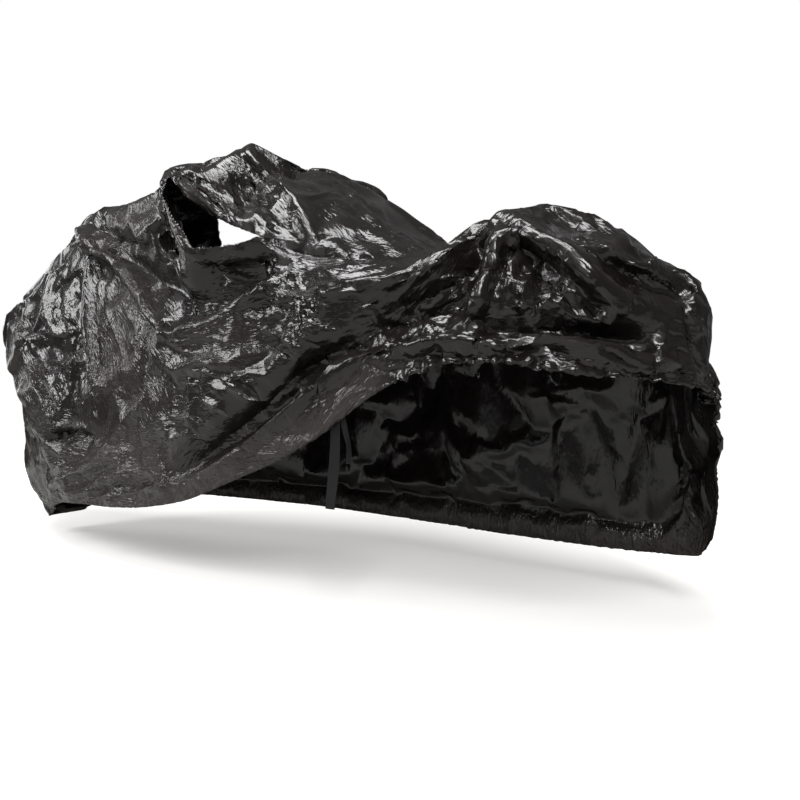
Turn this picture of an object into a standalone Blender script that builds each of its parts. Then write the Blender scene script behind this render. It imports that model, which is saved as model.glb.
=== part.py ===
"""Bicycle cover, as it hangs: one hollow sheet of thin film, open below, with two slits and two tie ends.

The sheet is worked out in ground coordinates: x runs forward from the tail, y to the far side, z up from
the ground, all in metres. The whole part is then moved so that its origin is the point under the top
where the cover is held up.
"""

import math

import bmesh
import bpy
import numpy as np
from mathutils import Matrix, Vector
from mathutils.bvhtree import BVHTree

# ---------------------------------------------------------------- driving dimensions, metres
FILM = 0.002                      # thickness of the sheet
SHEET_TRIANGLES = 5600            # one face of the sheet, before it gets its thickness
GRID_ALONG, GRID_ACROSS = 230, 150
HELD_AT = (0.80, 0.0, 1.165)      # ground coordinates of the point that holds the cover up
CREASE_PITCH, CREASE_HEIGHT = 0.13, 0.020    # the film's own crumple between the named folds
WEBBING_WIDTH, WEBBING_THICK = 0.025, 0.0016
SEAT_GAP = 0.0004                 # between a tie and the sheet it is sewn to
SEAT_RISES = (0.012, 0.018, 0.024)    # heights over the hem where a tie's top is held off the sheet
SHARP_FROM = math.radians(40)

# ---------------------------------------------------------------- the draped form
# One row for each section across the sheet, from the tail to the front. Columns: name, then the ground
# coordinates of the near hem, near shoulder, crown, far shoulder and far hem, then how far each flank
# bellies out between its shoulder and its hem (near, far).
SECTIONS = (
    ("tail_hem", (-0.15, -0.070, 0.085), (-0.20, -0.055, 0.062), (-0.25, 0.000, 0.055),
     (-0.20, 0.065, 0.065), (-0.15, 0.080, 0.090), 0.00, 0.00),
    ("tail_low", (-0.05, -0.120, 0.120), (-0.265, -0.095, 0.260), (-0.35, 0.000, 0.280),
     (-0.30, 0.140, 0.270), (-0.05, 0.140, 0.120), 0.02, 0.02),
    ("tail_mid", (0.10, -0.170, 0.150), (-0.315, -0.108, 0.560), (-0.38, 0.000, 0.560),
     (-0.34, 0.145, 0.560), (0.10, 0.200, 0.135), 0.02, 0.02),
    ("tail_corner", (0.26, -0.205, 0.163), (-0.44, -0.120, 0.775), (-0.445, 0.000, 0.790),
     (-0.43, 0.120, 0.780), (0.26, 0.235, 0.140), 0.03, 0.03),
    ("tail_top", (0.37, -0.225, 0.168), (-0.19, -0.105, 0.940), (-0.20, 0.000, 0.960),
     (-0.20, 0.110, 0.945), (0.37, 0.250, 0.140), 0.02, 0.02),
    ("hump_rear", (0.47, -0.240, 0.175), (0.05, -0.080, 1.105), (0.05, 0.000, 1.120),
     (0.05, 0.085, 1.105), (0.47, 0.260, 0.140), 0.02, 0.02),
    ("hump_front", (0.62, -0.250, 0.190), (0.30, -0.120, 1.085), (0.30, 0.000, 1.110),
     (0.33, 0.120, 1.100), (0.62, 0.265, 0.140), 0.02, 0.02),
    ("ridge_rear", (0.78, -0.255, 0.220), (0.55, -0.180, 1.075), (0.57, -0.010, 1.120),
     (0.62, 0.190, 1.110), (0.80, 0.270, 0.140), 0.02, 0.02),
    ("ridge", (0.90, -0.260, 0.260), (0.69, -0.225, 1.085), (0.78, -0.060, 1.165),
     (1.00, 0.250, 1.155), (0.98, 0.275, 0.135), 0.02, 0.02),
    ("ridge_front", (1.06, -0.265, 0.320), (0.98, -0.220, 0.900), (1.02, -0.010, 1.060),
     (1.12, 0.240, 1.040), (1.14, 0.275, 0.130), 0.02, 0.02),
    ("slope", (1.21, -0.270, 0.385), (1.18, -0.230, 0.740), (1.22, 0.000, 0.930),
     (1.27, 0.230, 0.920), (1.28, 0.275, 0.125), 0.02, 0.02),
    ("valley", (1.37, -0.270, 0.485), (1.36, -0.210, 0.720), (1.39, 0.000, 0.830),
     (1.40, 0.230, 0.830), (1.40, 0.275, 0.120), 0.02, 0.02),
    ("dome_rise", (1.50, -0.275, 0.530), (1.49, -0.160, 0.790), (1.50, 0.000, 0.860),
     (1.50, 0.220, 0.840), (1.50, 0.275, 0.118), 0.02, 0.02),
    ("dome_top", (1.63, -0.280, 0.530), (1.61, -0.140, 0.838), (1.62, 0.000, 0.880),
     (1.62, 0.200, 0.850), (1.62, 0.275, 0.115), 0.02, 0.02),
    ("dome_front", (1.76, -0.250, 0.510), (1.75, -0.130, 0.808), (1.75, 0.000, 0.845),
     (1.75, 0.190, 0.820), (1.74, 0.275, 0.115), 0.02, 0.02),
    ("brow", (1.86, -0.150, 0.500), (1.86, -0.100, 0.715), (1.865, 0.000, 0.745),
     (1.86, 0.180, 0.740), (1.82, 0.275, 0.115), 0.01, 0.02),
    ("corner", (1.92, -0.070, 0.490), (1.925, -0.050, 0.665), (1.925, 0.030, 0.690),
     (1.91, 0.170, 0.680), (1.87, 0.270, 0.118), 0.00, 0.02),
    ("face", (1.93, -0.025, 0.480), (1.940, 0.000, 0.545), (1.940, 0.070, 0.520),
     (1.93, 0.180, 0.480), (1.90, 0.262, 0.122), 0.00, 0.01),
    ("front_hem", (1.937, 0.000, 0.470), (1.942, 0.040, 0.420), (1.942, 0.090, 0.330),
     (1.935, 0.170, 0.200), (1.91, 0.245, 0.130), 0.00, 0.00),
)

# One row for each main fold. Columns: name, flank it lies on, height (a trough is negative), half width,
# then its course as seen square from the side, in (x, z).
FOLDS = (
    ("hem_tuck", "near", -0.050, 0.040,
     ((1.53, 0.68), (1.36, 0.64), (1.27, 0.585), (1.19, 0.535), (1.11, 0.48), (0.98, 0.40), (0.70, 0.265))),
    ("hem_roll", "near", 0.028, 0.030,
     ((1.50, 0.62), (1.41, 0.61), (1.32, 0.56), (1.16, 0.46), (1.00, 0.36), (0.82, 0.28), (0.62, 0.235))),
    ("front_roll", "near", 0.026, 0.018,
     ((1.40, 0.58), (1.48, 0.58), (1.60, 0.57), (1.68, 0.58), (1.78, 0.565), (1.87, 0.54), (1.93, 0.52))),
    ("front_tuck", "near", -0.045, 0.030,
     ((1.58, 0.61), (1.66, 0.607), (1.74, 0.600), (1.81, 0.59), (1.87, 0.578))),
    ("dome_rib_rear", "near", 0.026, 0.016,
     ((1.58, 0.84), (1.59, 0.79), (1.59, 0.73), (1.59, 0.66), (1.57, 0.63))),
    ("dome_dip_rear", "near", -0.030, 0.026, ((1.55, 0.80), (1.545, 0.72), (1.53, 0.66))),
    ("dome_rib_front", "near", 0.030, 0.020,
     ((1.59, 0.83), (1.67, 0.77), (1.72, 0.73), (1.77, 0.68), (1.82, 0.63))),
    ("dome_dip_front", "near", -0.034, 0.024, ((1.62, 0.77), (1.72, 0.69), (1.79, 0.62))),
    ("dome_rib_small", "near", 0.012, 0.012, ((1.73, 0.68), (1.76, 0.64), (1.78, 0.61))),
    ("dome_vee", "near", 0.012, 0.012, ((1.60, 0.79), (1.64, 0.74), (1.62, 0.70))),
    ("brow_rib_high", "near", 0.010, 0.014, ((1.71, 0.79), (1.75, 0.75), (1.78, 0.71))),
    ("brow_rib_low", "near", 0.014, 0.014, ((1.76, 0.75), (1.83, 0.71), (1.86, 0.71))),
    ("brow_dip", "near", -0.015, 0.018, ((1.78, 0.73), (1.84, 0.69), (1.93, 0.675))),
    ("valley_rib", "near", 0.024, 0.024,
     ((1.56, 0.85), (1.50, 0.79), (1.45, 0.74), (1.36, 0.71), (1.20, 0.71))),
    ("valley_dip", "near", -0.034, 0.032, ((1.34, 0.645), (1.43, 0.66), (1.50, 0.69), (1.535, 0.73), (1.55, 0.77))),
    ("peak_rib", "near", 0.018, 0.020,
     ((0.78, 1.17), (0.89, 1.10), (0.95, 1.04), (1.02, 0.98), (1.08, 0.90), (1.12, 0.86))),
    ("peak_dip", "near", -0.022, 0.022, ((0.84, 1.09), (0.90, 1.00), (0.94, 0.93))),
    ("lip_rib", "near", 0.014, 0.016, ((0.72, 1.08), (0.85, 0.985), (0.95, 0.91))),
    ("ridge_rib_far", "near", 0.009, 0.015, ((1.05, 1.14), (1.14, 1.04), (1.23, 0.92), (1.31, 0.80))),
    ("slit_pocket", "near", -0.028, 0.035, ((0.84, 0.80), (0.97, 0.78), (1.07, 0.79), (1.11, 0.83))),
    ("slit_rim", "near", 0.022, 0.022,
     ((0.69, 1.06), (0.74, 0.97), (0.77, 0.90), (0.81, 0.85), (0.86, 0.82))),
    ("slope_rib", "near", 0.014, 0.016, ((1.17, 0.77), (1.21, 0.71), (1.29, 0.70), (1.39, 0.72))),
    ("slope_crease", "near", 0.008, 0.014, ((1.15, 0.73), (1.17, 0.65), (1.16, 0.56))),
    ("hump_rib", "near", 0.032, 0.030,
     ((0.00, 1.09), (0.15, 1.00), (0.38, 0.86), (0.55, 0.76), (0.70, 0.65))),
    ("vee_rib", "near", 0.028, 0.026,
     ((0.68, 0.65), (0.83, 0.67), (0.97, 0.70), (1.06, 0.76), (1.12, 0.82))),
    ("vee_hollow", "near", -0.062, 0.056,
     ((0.22, 0.98), (0.40, 0.89), (0.58, 0.80), (0.73, 0.73), (0.88, 0.74), (1.00, 0.79))),
    ("tail_face_edge", "near", 0.022, 0.030,
     ((0.12, 1.03), (0.17, 0.86), (0.25, 0.68), (0.31, 0.52), (0.31, 0.36))),
    ("tail_face_dip", "near", -0.016, 0.040, ((0.04, 0.92), (0.09, 0.78), (0.15, 0.62), (0.19, 0.46))),
    ("hump_dip", "near", -0.022, 0.030, ((0.13, 1.06), (0.32, 0.98), (0.50, 0.92))),
    ("ridge_pocket", "near", -0.045, 0.040, ((0.66, 0.98), (0.62, 0.92), (0.62, 0.86))),
    ("hump_dip_low", "near", -0.020, 0.030, ((0.55, 0.86), (0.65, 0.76), (0.70, 0.67))),
    ("tail_rib", "near", 0.018, 0.022,
     ((-0.40, 0.78), (-0.23, 0.72), (-0.11, 0.59), (0.02, 0.48), (0.12, 0.39))),
    ("tail_pocket", "near", -0.028, 0.026, ((0.04, 0.37), (0.21, 0.36), (0.36, 0.385))),
    ("gather_rib_high", "near", 0.014, 0.022, ((-0.03, 0.19), (0.29, 0.28), (0.48, 0.33))),
    ("gather_rib_low", "near", 0.012, 0.018, ((-0.03, 0.17), (0.36, 0.225), (0.54, 0.27))),
    ("far_drop_front", "far", 0.026, 0.045, ((1.04, 1.10), (1.08, 0.75), (1.16, 0.35))),
    ("far_drop_rear", "far", 0.020, 0.040, ((1.00, 1.10), (0.82, 0.70), (0.74, 0.30))),
    ("far_dip_mid", "far", -0.030, 0.050, ((0.92, 0.95), (0.94, 0.65), (0.95, 0.30))),
    ("far_swag_tail", "far", -0.026, 0.040, ((-0.36, 0.74), (0.05, 0.52), (0.42, 0.42))),
    ("far_swag_hump", "far", 0.022, 0.035, ((0.08, 1.04), (0.30, 0.70), (0.45, 0.32))),
    ("far_dip_valley", "far", -0.028, 0.045, ((1.30, 0.82), (1.36, 0.55), (1.38, 0.25))),
    ("far_rib_dome", "far", 0.020, 0.035, ((1.52, 0.80), (1.56, 0.50), (1.55, 0.20))),
    ("far_rib_front", "far", 0.018, 0.030, ((1.88, 0.66), (1.78, 0.45), (1.72, 0.20))),
    ("far_hem_roll", "far", 0.012, 0.025, ((0.10, 0.20), (0.80, 0.21), (1.30, 0.20), (1.85, 0.19))),
)

# Where the sheet is held up from below in a point, like a tent. Columns: the place, how far it is pushed
# out, how far round it the sheet is lifted.
TENTS = (
    ((0.78, -0.05, 1.165), 0.050, 0.13),
    ((0.69, -0.225, 1.085), 0.010, 0.06),
    ((0.03, -0.03, 1.115), 0.012, 0.14),
    ((-0.445, 0.00, 0.790), 0.016, 0.16),
    ((1.60, -0.13, 0.845), 0.014, 0.09),
    ((1.93, 0.00, 0.680), 0.012, 0.10),
)

# The two slits, as outlines seen square from the side in (x, z), each cut between two depths in y.
SLITS = {
    "slit_near": {
        "outline": ((0.700, 1.070), (0.770, 1.000), (0.840, 0.945), (0.920, 0.903), (1.000, 0.868),
                    (0.940, 0.850), (0.830, 0.850), (0.775, 0.920), (0.715, 1.000)),
        "depths": (-0.40, -0.10),
    },
    "slit_far": {
        "outline": ((0.450, 1.108), (0.560, 1.112), (0.760, 1.118), (0.960, 1.125), (0.800, 1.075),
                    (0.620, 1.025), (0.500, 1.010), (0.420, 1.020)),
        "depths": (0.10, 0.40),
    },
}

# The two tie ends under the near hem. Each row of a course: how far below the hem, how far it stands off
# from its seat in x and in y, and how far it is turned about its own length, in degrees. A smooth curve
# through the rows is read at TIE_STEPS places for each row.
TIE_STEPS = 3
TIES = {
    "tie_long": {
        "x": 1.262,
        "width": WEBBING_WIDTH,
        "course": ((-0.024, 0.000, 0.000, 0), (-0.004, 0.000, 0.000, 0), (0.020, 0.000, 0.001, 0),
                   (0.055, -0.002, 0.003, 4), (0.090, -0.005, 0.004, 8), (0.123, -0.008, 0.003, 6),
                   (0.150, -0.010, 0.001, 0), (0.173, -0.011, 0.000, -3)),
    },
    "tie_short": {
        "x": 1.283,
        "width": 0.012,
        "course": ((-0.020, 0.000, 0.000, 0), (-0.004, 0.000, 0.000, 0), (0.014, 0.001, 0.004, 25),
                   (0.034, 0.004, 0.008, 55), (0.054, 0.009, 0.009, 70), (0.074, 0.011, 0.008, 62),
                   (0.092, 0.011, 0.007, 50)),
    },
}


def clear_scene():
    """Start from an empty scene."""
    for leftover in list(bpy.data.objects):
        bpy.data.objects.remove(leftover, do_unlink=True)


def plain_material(name, colour, roughness):
    """A Principled material: sheet plastic or webbing, never metal."""
    material = bpy.data.materials.new(name)
    material.use_nodes = True
    shader = material.node_tree.nodes["Principled BSDF"]
    shader.inputs["Base Color"].default_value = (*colour, 1.0)
    shader.inputs["Roughness"].default_value = roughness
    shader.inputs["Metallic"].default_value = 0.0
    return material


def add_object(name, vertices, faces, material):
    """A mesh object at the origin, smooth but for its sharp folds."""
    mesh = bpy.data.meshes.new(name)
    mesh.from_pydata([tuple(v) for v in vertices], [], faces)
    mesh.materials.append(material)
    mesh.shade_smooth()
    mesh.set_sharp_from_angle(angle=SHARP_FROM)
    made = bpy.data.objects.new(name, mesh)
    bpy.context.collection.objects.link(made)
    return made


# ---------------------------------------------------------------- the sheet's surface
def control_net():
    """Seven points for each section: hem, belly, shoulder, crown, shoulder, belly, hem."""
    net = []
    for _, near_hem, near_shoulder, crown, far_shoulder, far_hem, near_belly, far_belly in SECTIONS:
        near_hem, near_shoulder, crown, far_shoulder, far_hem = map(
            np.array, (near_hem, near_shoulder, crown, far_shoulder, far_hem))
        near_flank = (near_hem + near_shoulder) / 2 - (0, near_belly, 0)
        far_flank = (far_hem + far_shoulder) / 2 + (0, far_belly, 0)
        net.append((near_hem, near_flank, near_shoulder, crown, far_shoulder, far_flank, far_hem))
    return np.array(net)


def smooth_rows(rows, places):
    """Catmull-Rom curve through the rows, read at places counted in rows."""
    ends = (2 * rows[:1] - rows[1:2], 2 * rows[-1:] - rows[-2:-1])
    padded = np.concatenate((ends[0], rows, ends[1]))
    start = np.clip(np.floor(places).astype(int), 0, len(rows) - 2)
    f = (places - start).reshape((-1,) + (1,) * (rows.ndim - 1))
    a, b, c, d = (padded[start + k] for k in range(4))
    return 0.5 * (2 * b + (c - a) * f + (2 * a - 5 * b + 4 * c - d) * f**2 + (3 * b - a - 3 * c + d) * f**3)


def even_places(net, count, axis):
    """Places along one way of the net that stand about equally far apart on the sheet."""
    steps = np.linalg.norm(np.diff(net, axis=axis), axis=2).mean(axis=1 - axis)
    run = np.concatenate(([0.0], np.cumsum(steps)))
    return np.interp(np.linspace(0, run[-1], count), run, np.arange(len(run)))


def outward(points):
    """Unit normals of a grid of points, from its two ways crossed."""
    normal = np.cross(np.gradient(points, axis=0), np.gradient(points, axis=1))
    return normal / np.linalg.norm(normal, axis=2, keepdims=True)


def fold_heights(points, across):
    """Height of all the named folds: each falls off with the distance from its course, and at its ends."""
    x, z = points[..., 0], points[..., 2]
    near = np.clip((4.0 - across) / 0.7, 0, 1)
    near = near * near * (3 - 2 * near)
    flank = {"near": near, "far": 1 - near}
    total = np.zeros(x.shape)
    for _, side, height, half_width, course in FOLDS:
        course = np.array(course)
        legs = np.diff(course, axis=0)
        lengths = np.linalg.norm(legs, axis=1)
        starts = np.concatenate(([0.0], np.cumsum(lengths)))
        nearest, share = np.full(x.shape, np.inf), np.zeros(x.shape)
        for corner, leg, length, start in zip(course, legs, lengths, starts):
            t = ((x - corner[0]) * leg[0] + (z - corner[1]) * leg[1]) / length**2
            t = np.clip(t, 0, 1)
            distance = np.hypot(x - corner[0] - t * leg[0], z - corner[1] - t * leg[1])
            closer = distance < nearest
            nearest = np.where(closer, distance, nearest)
            share = np.where(closer, (start + t * length) / starts[-1], share)
        end_fade = 0.25 + 0.75 * np.sqrt(np.clip(6.4 * share * (1 - share), 0, 1))
        total += height * np.exp(-((nearest / half_width) ** 1.6)) * end_fade * flank[side]
    return total


def crumple_heights(points, pitch, height, seed):
    """Dimples about one random seed in each cube of space: sharp ridges stand where two dimples meet."""
    low = points.reshape(-1, 3).min(axis=0) - 2 * pitch
    cells = np.ceil((points.reshape(-1, 3).max(axis=0) + 2 * pitch - low) / pitch).astype(int)
    seeds = np.stack(np.meshgrid(*map(np.arange, cells), indexing="ij"), axis=-1)
    seeds = seeds + np.random.default_rng(seed).random(seeds.shape)
    place = (points - low) / pitch
    home = np.floor(place).astype(int)
    nearest = np.full(points.shape[:2], np.inf)
    for step in np.ndindex(3, 3, 3):
        cube = home + np.array(step) - 1
        to_seed = place - seeds[cube[..., 0], cube[..., 1], cube[..., 2]]
        nearest = np.minimum(nearest, np.linalg.norm(to_seed, axis=-1))
    return height * (nearest - 0.55)


def draped_sheet():
    """The outer face of the sheet: sections joined smoothly, then folded and crumpled along its normals."""
    net = control_net()
    along = even_places(net, GRID_ALONG, 0)
    across = even_places(net, GRID_ACROSS, 1)
    points = smooth_rows(smooth_rows(net, along).transpose(1, 0, 2), across).transpose(1, 0, 2)
    heights = fold_heights(points, across) + crumple_heights(points, CREASE_PITCH, CREASE_HEIGHT, seed=3)
    for place, rise, reach in TENTS:
        heights += rise * np.clip(1 - np.linalg.norm(points - place, axis=2) / reach, 0, 1)
    points = points + outward(points) * heights[..., None]
    return points - np.array(HELD_AT)


def grid_faces(rows, columns):
    """Quads between neighbouring rows and columns, facing outward."""
    corner = np.arange(rows * columns).reshape(rows, columns)
    quads = np.stack((corner[:-1, :-1], corner[1:, :-1], corner[1:, 1:], corner[:-1, 1:]), axis=-1)
    return quads.reshape(-1, 4).tolist()


# ---------------------------------------------------------------- pieces
def triangles_outward(thing):
    """Split a closed mesh into triangles, so that a twisted face has one shape, and turn them outward."""
    shape = bmesh.new()
    shape.from_mesh(thing.data)
    bmesh.ops.triangulate(shape, faces=shape.faces)
    bmesh.ops.recalc_face_normals(shape, faces=shape.faces)
    shape.to_mesh(thing.data)
    shape.free()


def slit_cutter(name, outline, depths):
    """A closed prism with the slit's outline, which runs through one flank only."""
    corners = [(x, y, z) for y in depths for x, z in outline]
    count = len(outline)
    ring = range(count)
    faces = [list(ring), [count + k for k in reversed(ring)]]
    faces += [(k, count + k, count + (k + 1) % count, (k + 1) % count) for k in ring]
    cutter = add_object(name, np.array(corners) - np.array(HELD_AT), faces, FILM_MATERIAL)
    triangles_outward(cutter)
    cutter.hide_render = True
    cutter.display_type = "WIRE"
    return cutter


def make_cover(sheet):
    """The one-piece sheet: thinned to the faces its folds need, given its thickness, then slit twice."""
    cover = add_object("cover", sheet.reshape(-1, 3), grid_faces(GRID_ALONG, GRID_ACROSS), FILM_MATERIAL)
    thin_out = cover.modifiers.new("fewer_faces", "DECIMATE")
    thin_out.ratio = SHEET_TRIANGLES / (2 * (GRID_ALONG - 1) * (GRID_ACROSS - 1))
    thin_out.use_collapse_triangulate = True
    thickness = cover.modifiers.new("film", "SOLIDIFY")
    thickness.thickness = FILM
    thickness.offset = -1.0
    for name, slit in SLITS.items():
        cut = cover.modifiers.new(name, "BOOLEAN")
        cut.operation = "DIFFERENCE"
        cut.solver = "EXACT"
        cut.object = slit_cutter(name + "_cutter", slit["outline"], slit["depths"])
    return cover


def seat_inside_hem(x, width, hem_z, cover_faces):
    """The y of the tie's middle where its top lies against the sheet's inner face, found by casting rays."""
    outward_ray = Vector((0, -1, 0))
    starts = [Vector((x + side * width / 2, 0, hem_z + rise)) for side in (-1, 0, 1) for rise in SEAT_RISES]
    hits = [cover_faces.ray_cast(start, outward_ray)[0] for start in starts]
    return max(hit.y for hit in hits if hit) + SEAT_GAP + WEBBING_THICK / 2


def make_tie(name, x_ground, width, course, cover_faces, near_hem):
    """A flat strip of webbing, seated inside the hem and carried down its course."""
    x_here = x_ground - HELD_AT[0]
    hem_z = float(np.interp(x_here, near_hem[:, 0], near_hem[:, 2]))
    seat_y = seat_inside_hem(x_here, width, hem_z, cover_faces)
    corners_of_strip = ((-1, -1), (1, -1), (1, 1), (-1, 1))
    places = np.linspace(0, len(course) - 1, TIE_STEPS * (len(course) - 1) + 1)
    rows = []
    for drop, off_x, off_y, turn in smooth_rows(np.array(course, float), places).tolist():
        middle = Vector((x_here + off_x, seat_y + off_y, hem_z - drop))
        turned = Matrix.Rotation(math.radians(turn), 3, "Z")
        half_width = turned @ Vector((width / 2, 0, 0))
        half_thick = turned @ Vector((0, WEBBING_THICK / 2, 0))
        rows.append([middle + half_width * a + half_thick * b for a, b in corners_of_strip])
    vertices = [corner for row in rows for corner in row]
    faces = [(0, 1, 2, 3)]
    for k in range(0, 4 * (len(rows) - 1), 4):
        faces += [(k + s, k + 4 + s, k + 4 + (s + 1) % 4, k + (s + 1) % 4) for s in range(4)]
    last = 4 * (len(rows) - 1)
    faces.append((last + 3, last + 2, last + 1, last))
    tie = add_object(name, vertices, faces, WEBBING_MATERIAL)
    triangles_outward(tie)
    return tie


clear_scene()
FILM_MATERIAL = plain_material("black_film", (0.012, 0.012, 0.013), 0.28)
WEBBING_MATERIAL = plain_material("black_webbing", (0.010, 0.010, 0.011), 0.75)
SHEET = draped_sheet()
COVER = make_cover(SHEET)
COVER_FACES = BVHTree.FromObject(COVER, bpy.context.evaluated_depsgraph_get())
for tie_name, tie in TIES.items():
    make_tie(tie_name, tie["x"], tie["width"], tie["course"], COVER_FACES, SHEET[:, 0])
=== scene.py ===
"""Looks of the draped film cover: a crumpled, glossy sheet with its drawn-in hem and two tie ends."""

import math

import bpy
import numpy as np
from mathutils import Matrix, Vector


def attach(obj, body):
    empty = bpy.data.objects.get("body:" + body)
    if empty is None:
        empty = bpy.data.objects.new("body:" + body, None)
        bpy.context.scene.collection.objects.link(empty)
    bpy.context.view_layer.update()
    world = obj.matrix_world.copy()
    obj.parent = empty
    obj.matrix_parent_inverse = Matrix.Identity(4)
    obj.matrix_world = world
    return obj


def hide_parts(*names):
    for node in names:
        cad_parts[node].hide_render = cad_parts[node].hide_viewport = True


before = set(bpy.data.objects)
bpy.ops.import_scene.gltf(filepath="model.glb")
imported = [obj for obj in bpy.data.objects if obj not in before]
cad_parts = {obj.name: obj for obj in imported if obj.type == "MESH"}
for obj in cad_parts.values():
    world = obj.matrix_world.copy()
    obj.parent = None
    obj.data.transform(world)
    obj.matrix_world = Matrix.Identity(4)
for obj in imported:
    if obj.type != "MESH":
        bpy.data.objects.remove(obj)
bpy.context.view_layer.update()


# ======================================================================================= studio
# The camera stands low at the front left of the cover, at about the height of its hem. The floor and
# the walls are plain white paper, lit from all round, with five softboxes for the film's highlights.
HELD_AT = np.array((0.80, 0.0, 1.165))        # ground coordinates of the part's origin
CAMERA_AT = np.array((1.992, -1.226, 0.4415)) - HELD_AT
CAMERA_RIGHT = Vector((0.859207, 0.511579, 0.007094))
CAMERA_UP = Vector((0.007025, -0.025659, 0.999646))
CAMERA_LENS_MM = 25.85                         # on a 36 mm wide sensor

camera_data = bpy.data.cameras.new("camera")
camera_data.sensor_width = 36.0
camera_data.lens = CAMERA_LENS_MM
camera_data.clip_start = 0.05
camera = bpy.data.objects.new("camera", camera_data)
bpy.context.scene.collection.objects.link(camera)
axes = Matrix((CAMERA_RIGHT, CAMERA_UP, CAMERA_RIGHT.cross(CAMERA_UP))).transposed()
camera.matrix_world = Matrix.Translation(Vector(CAMERA_AT)) @ axes.to_4x4()
bpy.context.scene.camera = camera
bpy.context.scene.view_settings.view_transform = "Standard"


def hex_colour(code):
    """sRGB hex to the linear values that shaders take: each channel through the sRGB curve."""
    channels = [int(code[k:k + 2], 16) / 255 for k in (1, 3, 5)]
    return tuple(c / 12.92 if c <= 0.04045 else ((c + 0.055) / 1.055) ** 2.4 for c in channels)


def add_node(tree, kind, settings=None, inputs=None):
    """A node with its settings and its inputs, each a plain value or another node's output."""
    made = tree.nodes.new(kind)
    for name, value in (settings or {}).items():
        setattr(made, name, value)
    for name, value in (inputs or {}).items():
        if isinstance(value, bpy.types.NodeSocket):
            tree.links.new(value, made.inputs[name])
        else:
            made.inputs[name].default_value = value
    return made


def new_material(name):
    """An empty node material and its output node."""
    material = bpy.data.materials.new(name)
    material.use_nodes = True
    material.node_tree.nodes.clear()
    return material, material.node_tree, add_node(material.node_tree, "ShaderNodeOutputMaterial")


def mesh_object(name, vertices, faces, material):
    """A smooth-shaded mesh object at the origin."""
    mesh = bpy.data.meshes.new(name)
    mesh.from_pydata(np.asarray(vertices).reshape(-1, 3).tolist(), [], faces)
    mesh.materials.append(material)
    mesh.shade_smooth()
    made = bpy.data.objects.new(name, mesh)
    bpy.context.scene.collection.objects.link(made)
    return made


# White seamless paper, matt. To the eye it is lit from below and behind as well, more so further back, so
# that it runs into the white wall with no line between them.
PAPER_WHITE, PAPER_GREY = hex_colour("#F1F0EE"), hex_colour("#BDBCBA")
CLOUDS_ACROSS, CLOUD_TONE = 90.0, 0.985        # faint clouds in its tone, 90 across the whole floor
LIT_FROM, LIT_TO = 1.6, 4.5                    # the glow grows to full white between these distances
PAPER_GLOW = 0.40
FLOOR_HALF = 14.0
paper, tree, output = new_material("white_seamless_paper")
clouds = add_node(tree, "ShaderNodeTexNoise", inputs={"Scale": CLOUDS_ACROSS, "Detail": 2.0})
clouded = [channel * CLOUD_TONE for channel in PAPER_WHITE]
tone = add_node(tree, "ShaderNodeMix", {"data_type": "RGBA"}, {
    "Factor": clouds.outputs[0], "A": (*PAPER_WHITE, 1.0), "B": (*clouded, 1.0)})
place = add_node(tree, "ShaderNodeTexCoord").outputs["Object"]
away = add_node(tree, "ShaderNodeVectorMath", {"operation": "LENGTH"}, {0: place}).outputs["Value"]
glow = add_node(tree, "ShaderNodeMapRange", inputs={
    "Value": away, "From Min": LIT_FROM, "From Max": LIT_TO, "To Min": PAPER_GLOW, "To Max": 1.0}).outputs[0]
bright = add_node(tree, "ShaderNodeBsdfPrincipled", inputs={
    "Base Color": tone.outputs["Result"], "Roughness": 0.9,
    "Emission Color": (*PAPER_WHITE, 1.0), "Emission Strength": glow})
dim = add_node(tree, "ShaderNodeBsdfDiffuse", inputs={"Color": (*PAPER_GREY, 1.0)})
path = add_node(tree, "ShaderNodeLightPath")
mixed = add_node(tree, "ShaderNodeMixShader", inputs={
    0: path.outputs["Is Camera Ray"], 1: dim.outputs[0], 2: bright.outputs[0]})
tree.links.new(mixed.outputs[0], output.inputs["Surface"])
floor_sides = ((-1, -1), (1, -1), (1, 1), (-1, 1))
floor_corners = [(x * FLOOR_HALF, y * FLOOR_HALF, -HELD_AT[2]) for x, y in floor_sides]
floor = mesh_object("floor", floor_corners, [(0, 1, 2, 3)], paper)

# The white room: plain white to the eye, and a weak even light on everything.
WORLD_SEEN, WORLD_LIGHT = 1.0, 0.19
world = bpy.data.worlds.new("white_room")
world.use_nodes = True
bpy.context.scene.world = world
tree = world.node_tree
tree.nodes.clear()
seen = add_node(tree, "ShaderNodeBackground", inputs={"Color": (1, 1, 1, 1), "Strength": WORLD_SEEN})
lit = add_node(tree, "ShaderNodeBackground", inputs={"Color": (1, 1, 1, 1), "Strength": WORLD_LIGHT})
path = add_node(tree, "ShaderNodeLightPath")
mixed = add_node(tree, "ShaderNodeMixShader", inputs={
    0: path.outputs["Is Camera Ray"], 1: lit.outputs[0], 2: seen.outputs[0]})
add_node(tree, "ShaderNodeOutputWorld", inputs={"Surface": mixed.outputs[0]})

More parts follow.
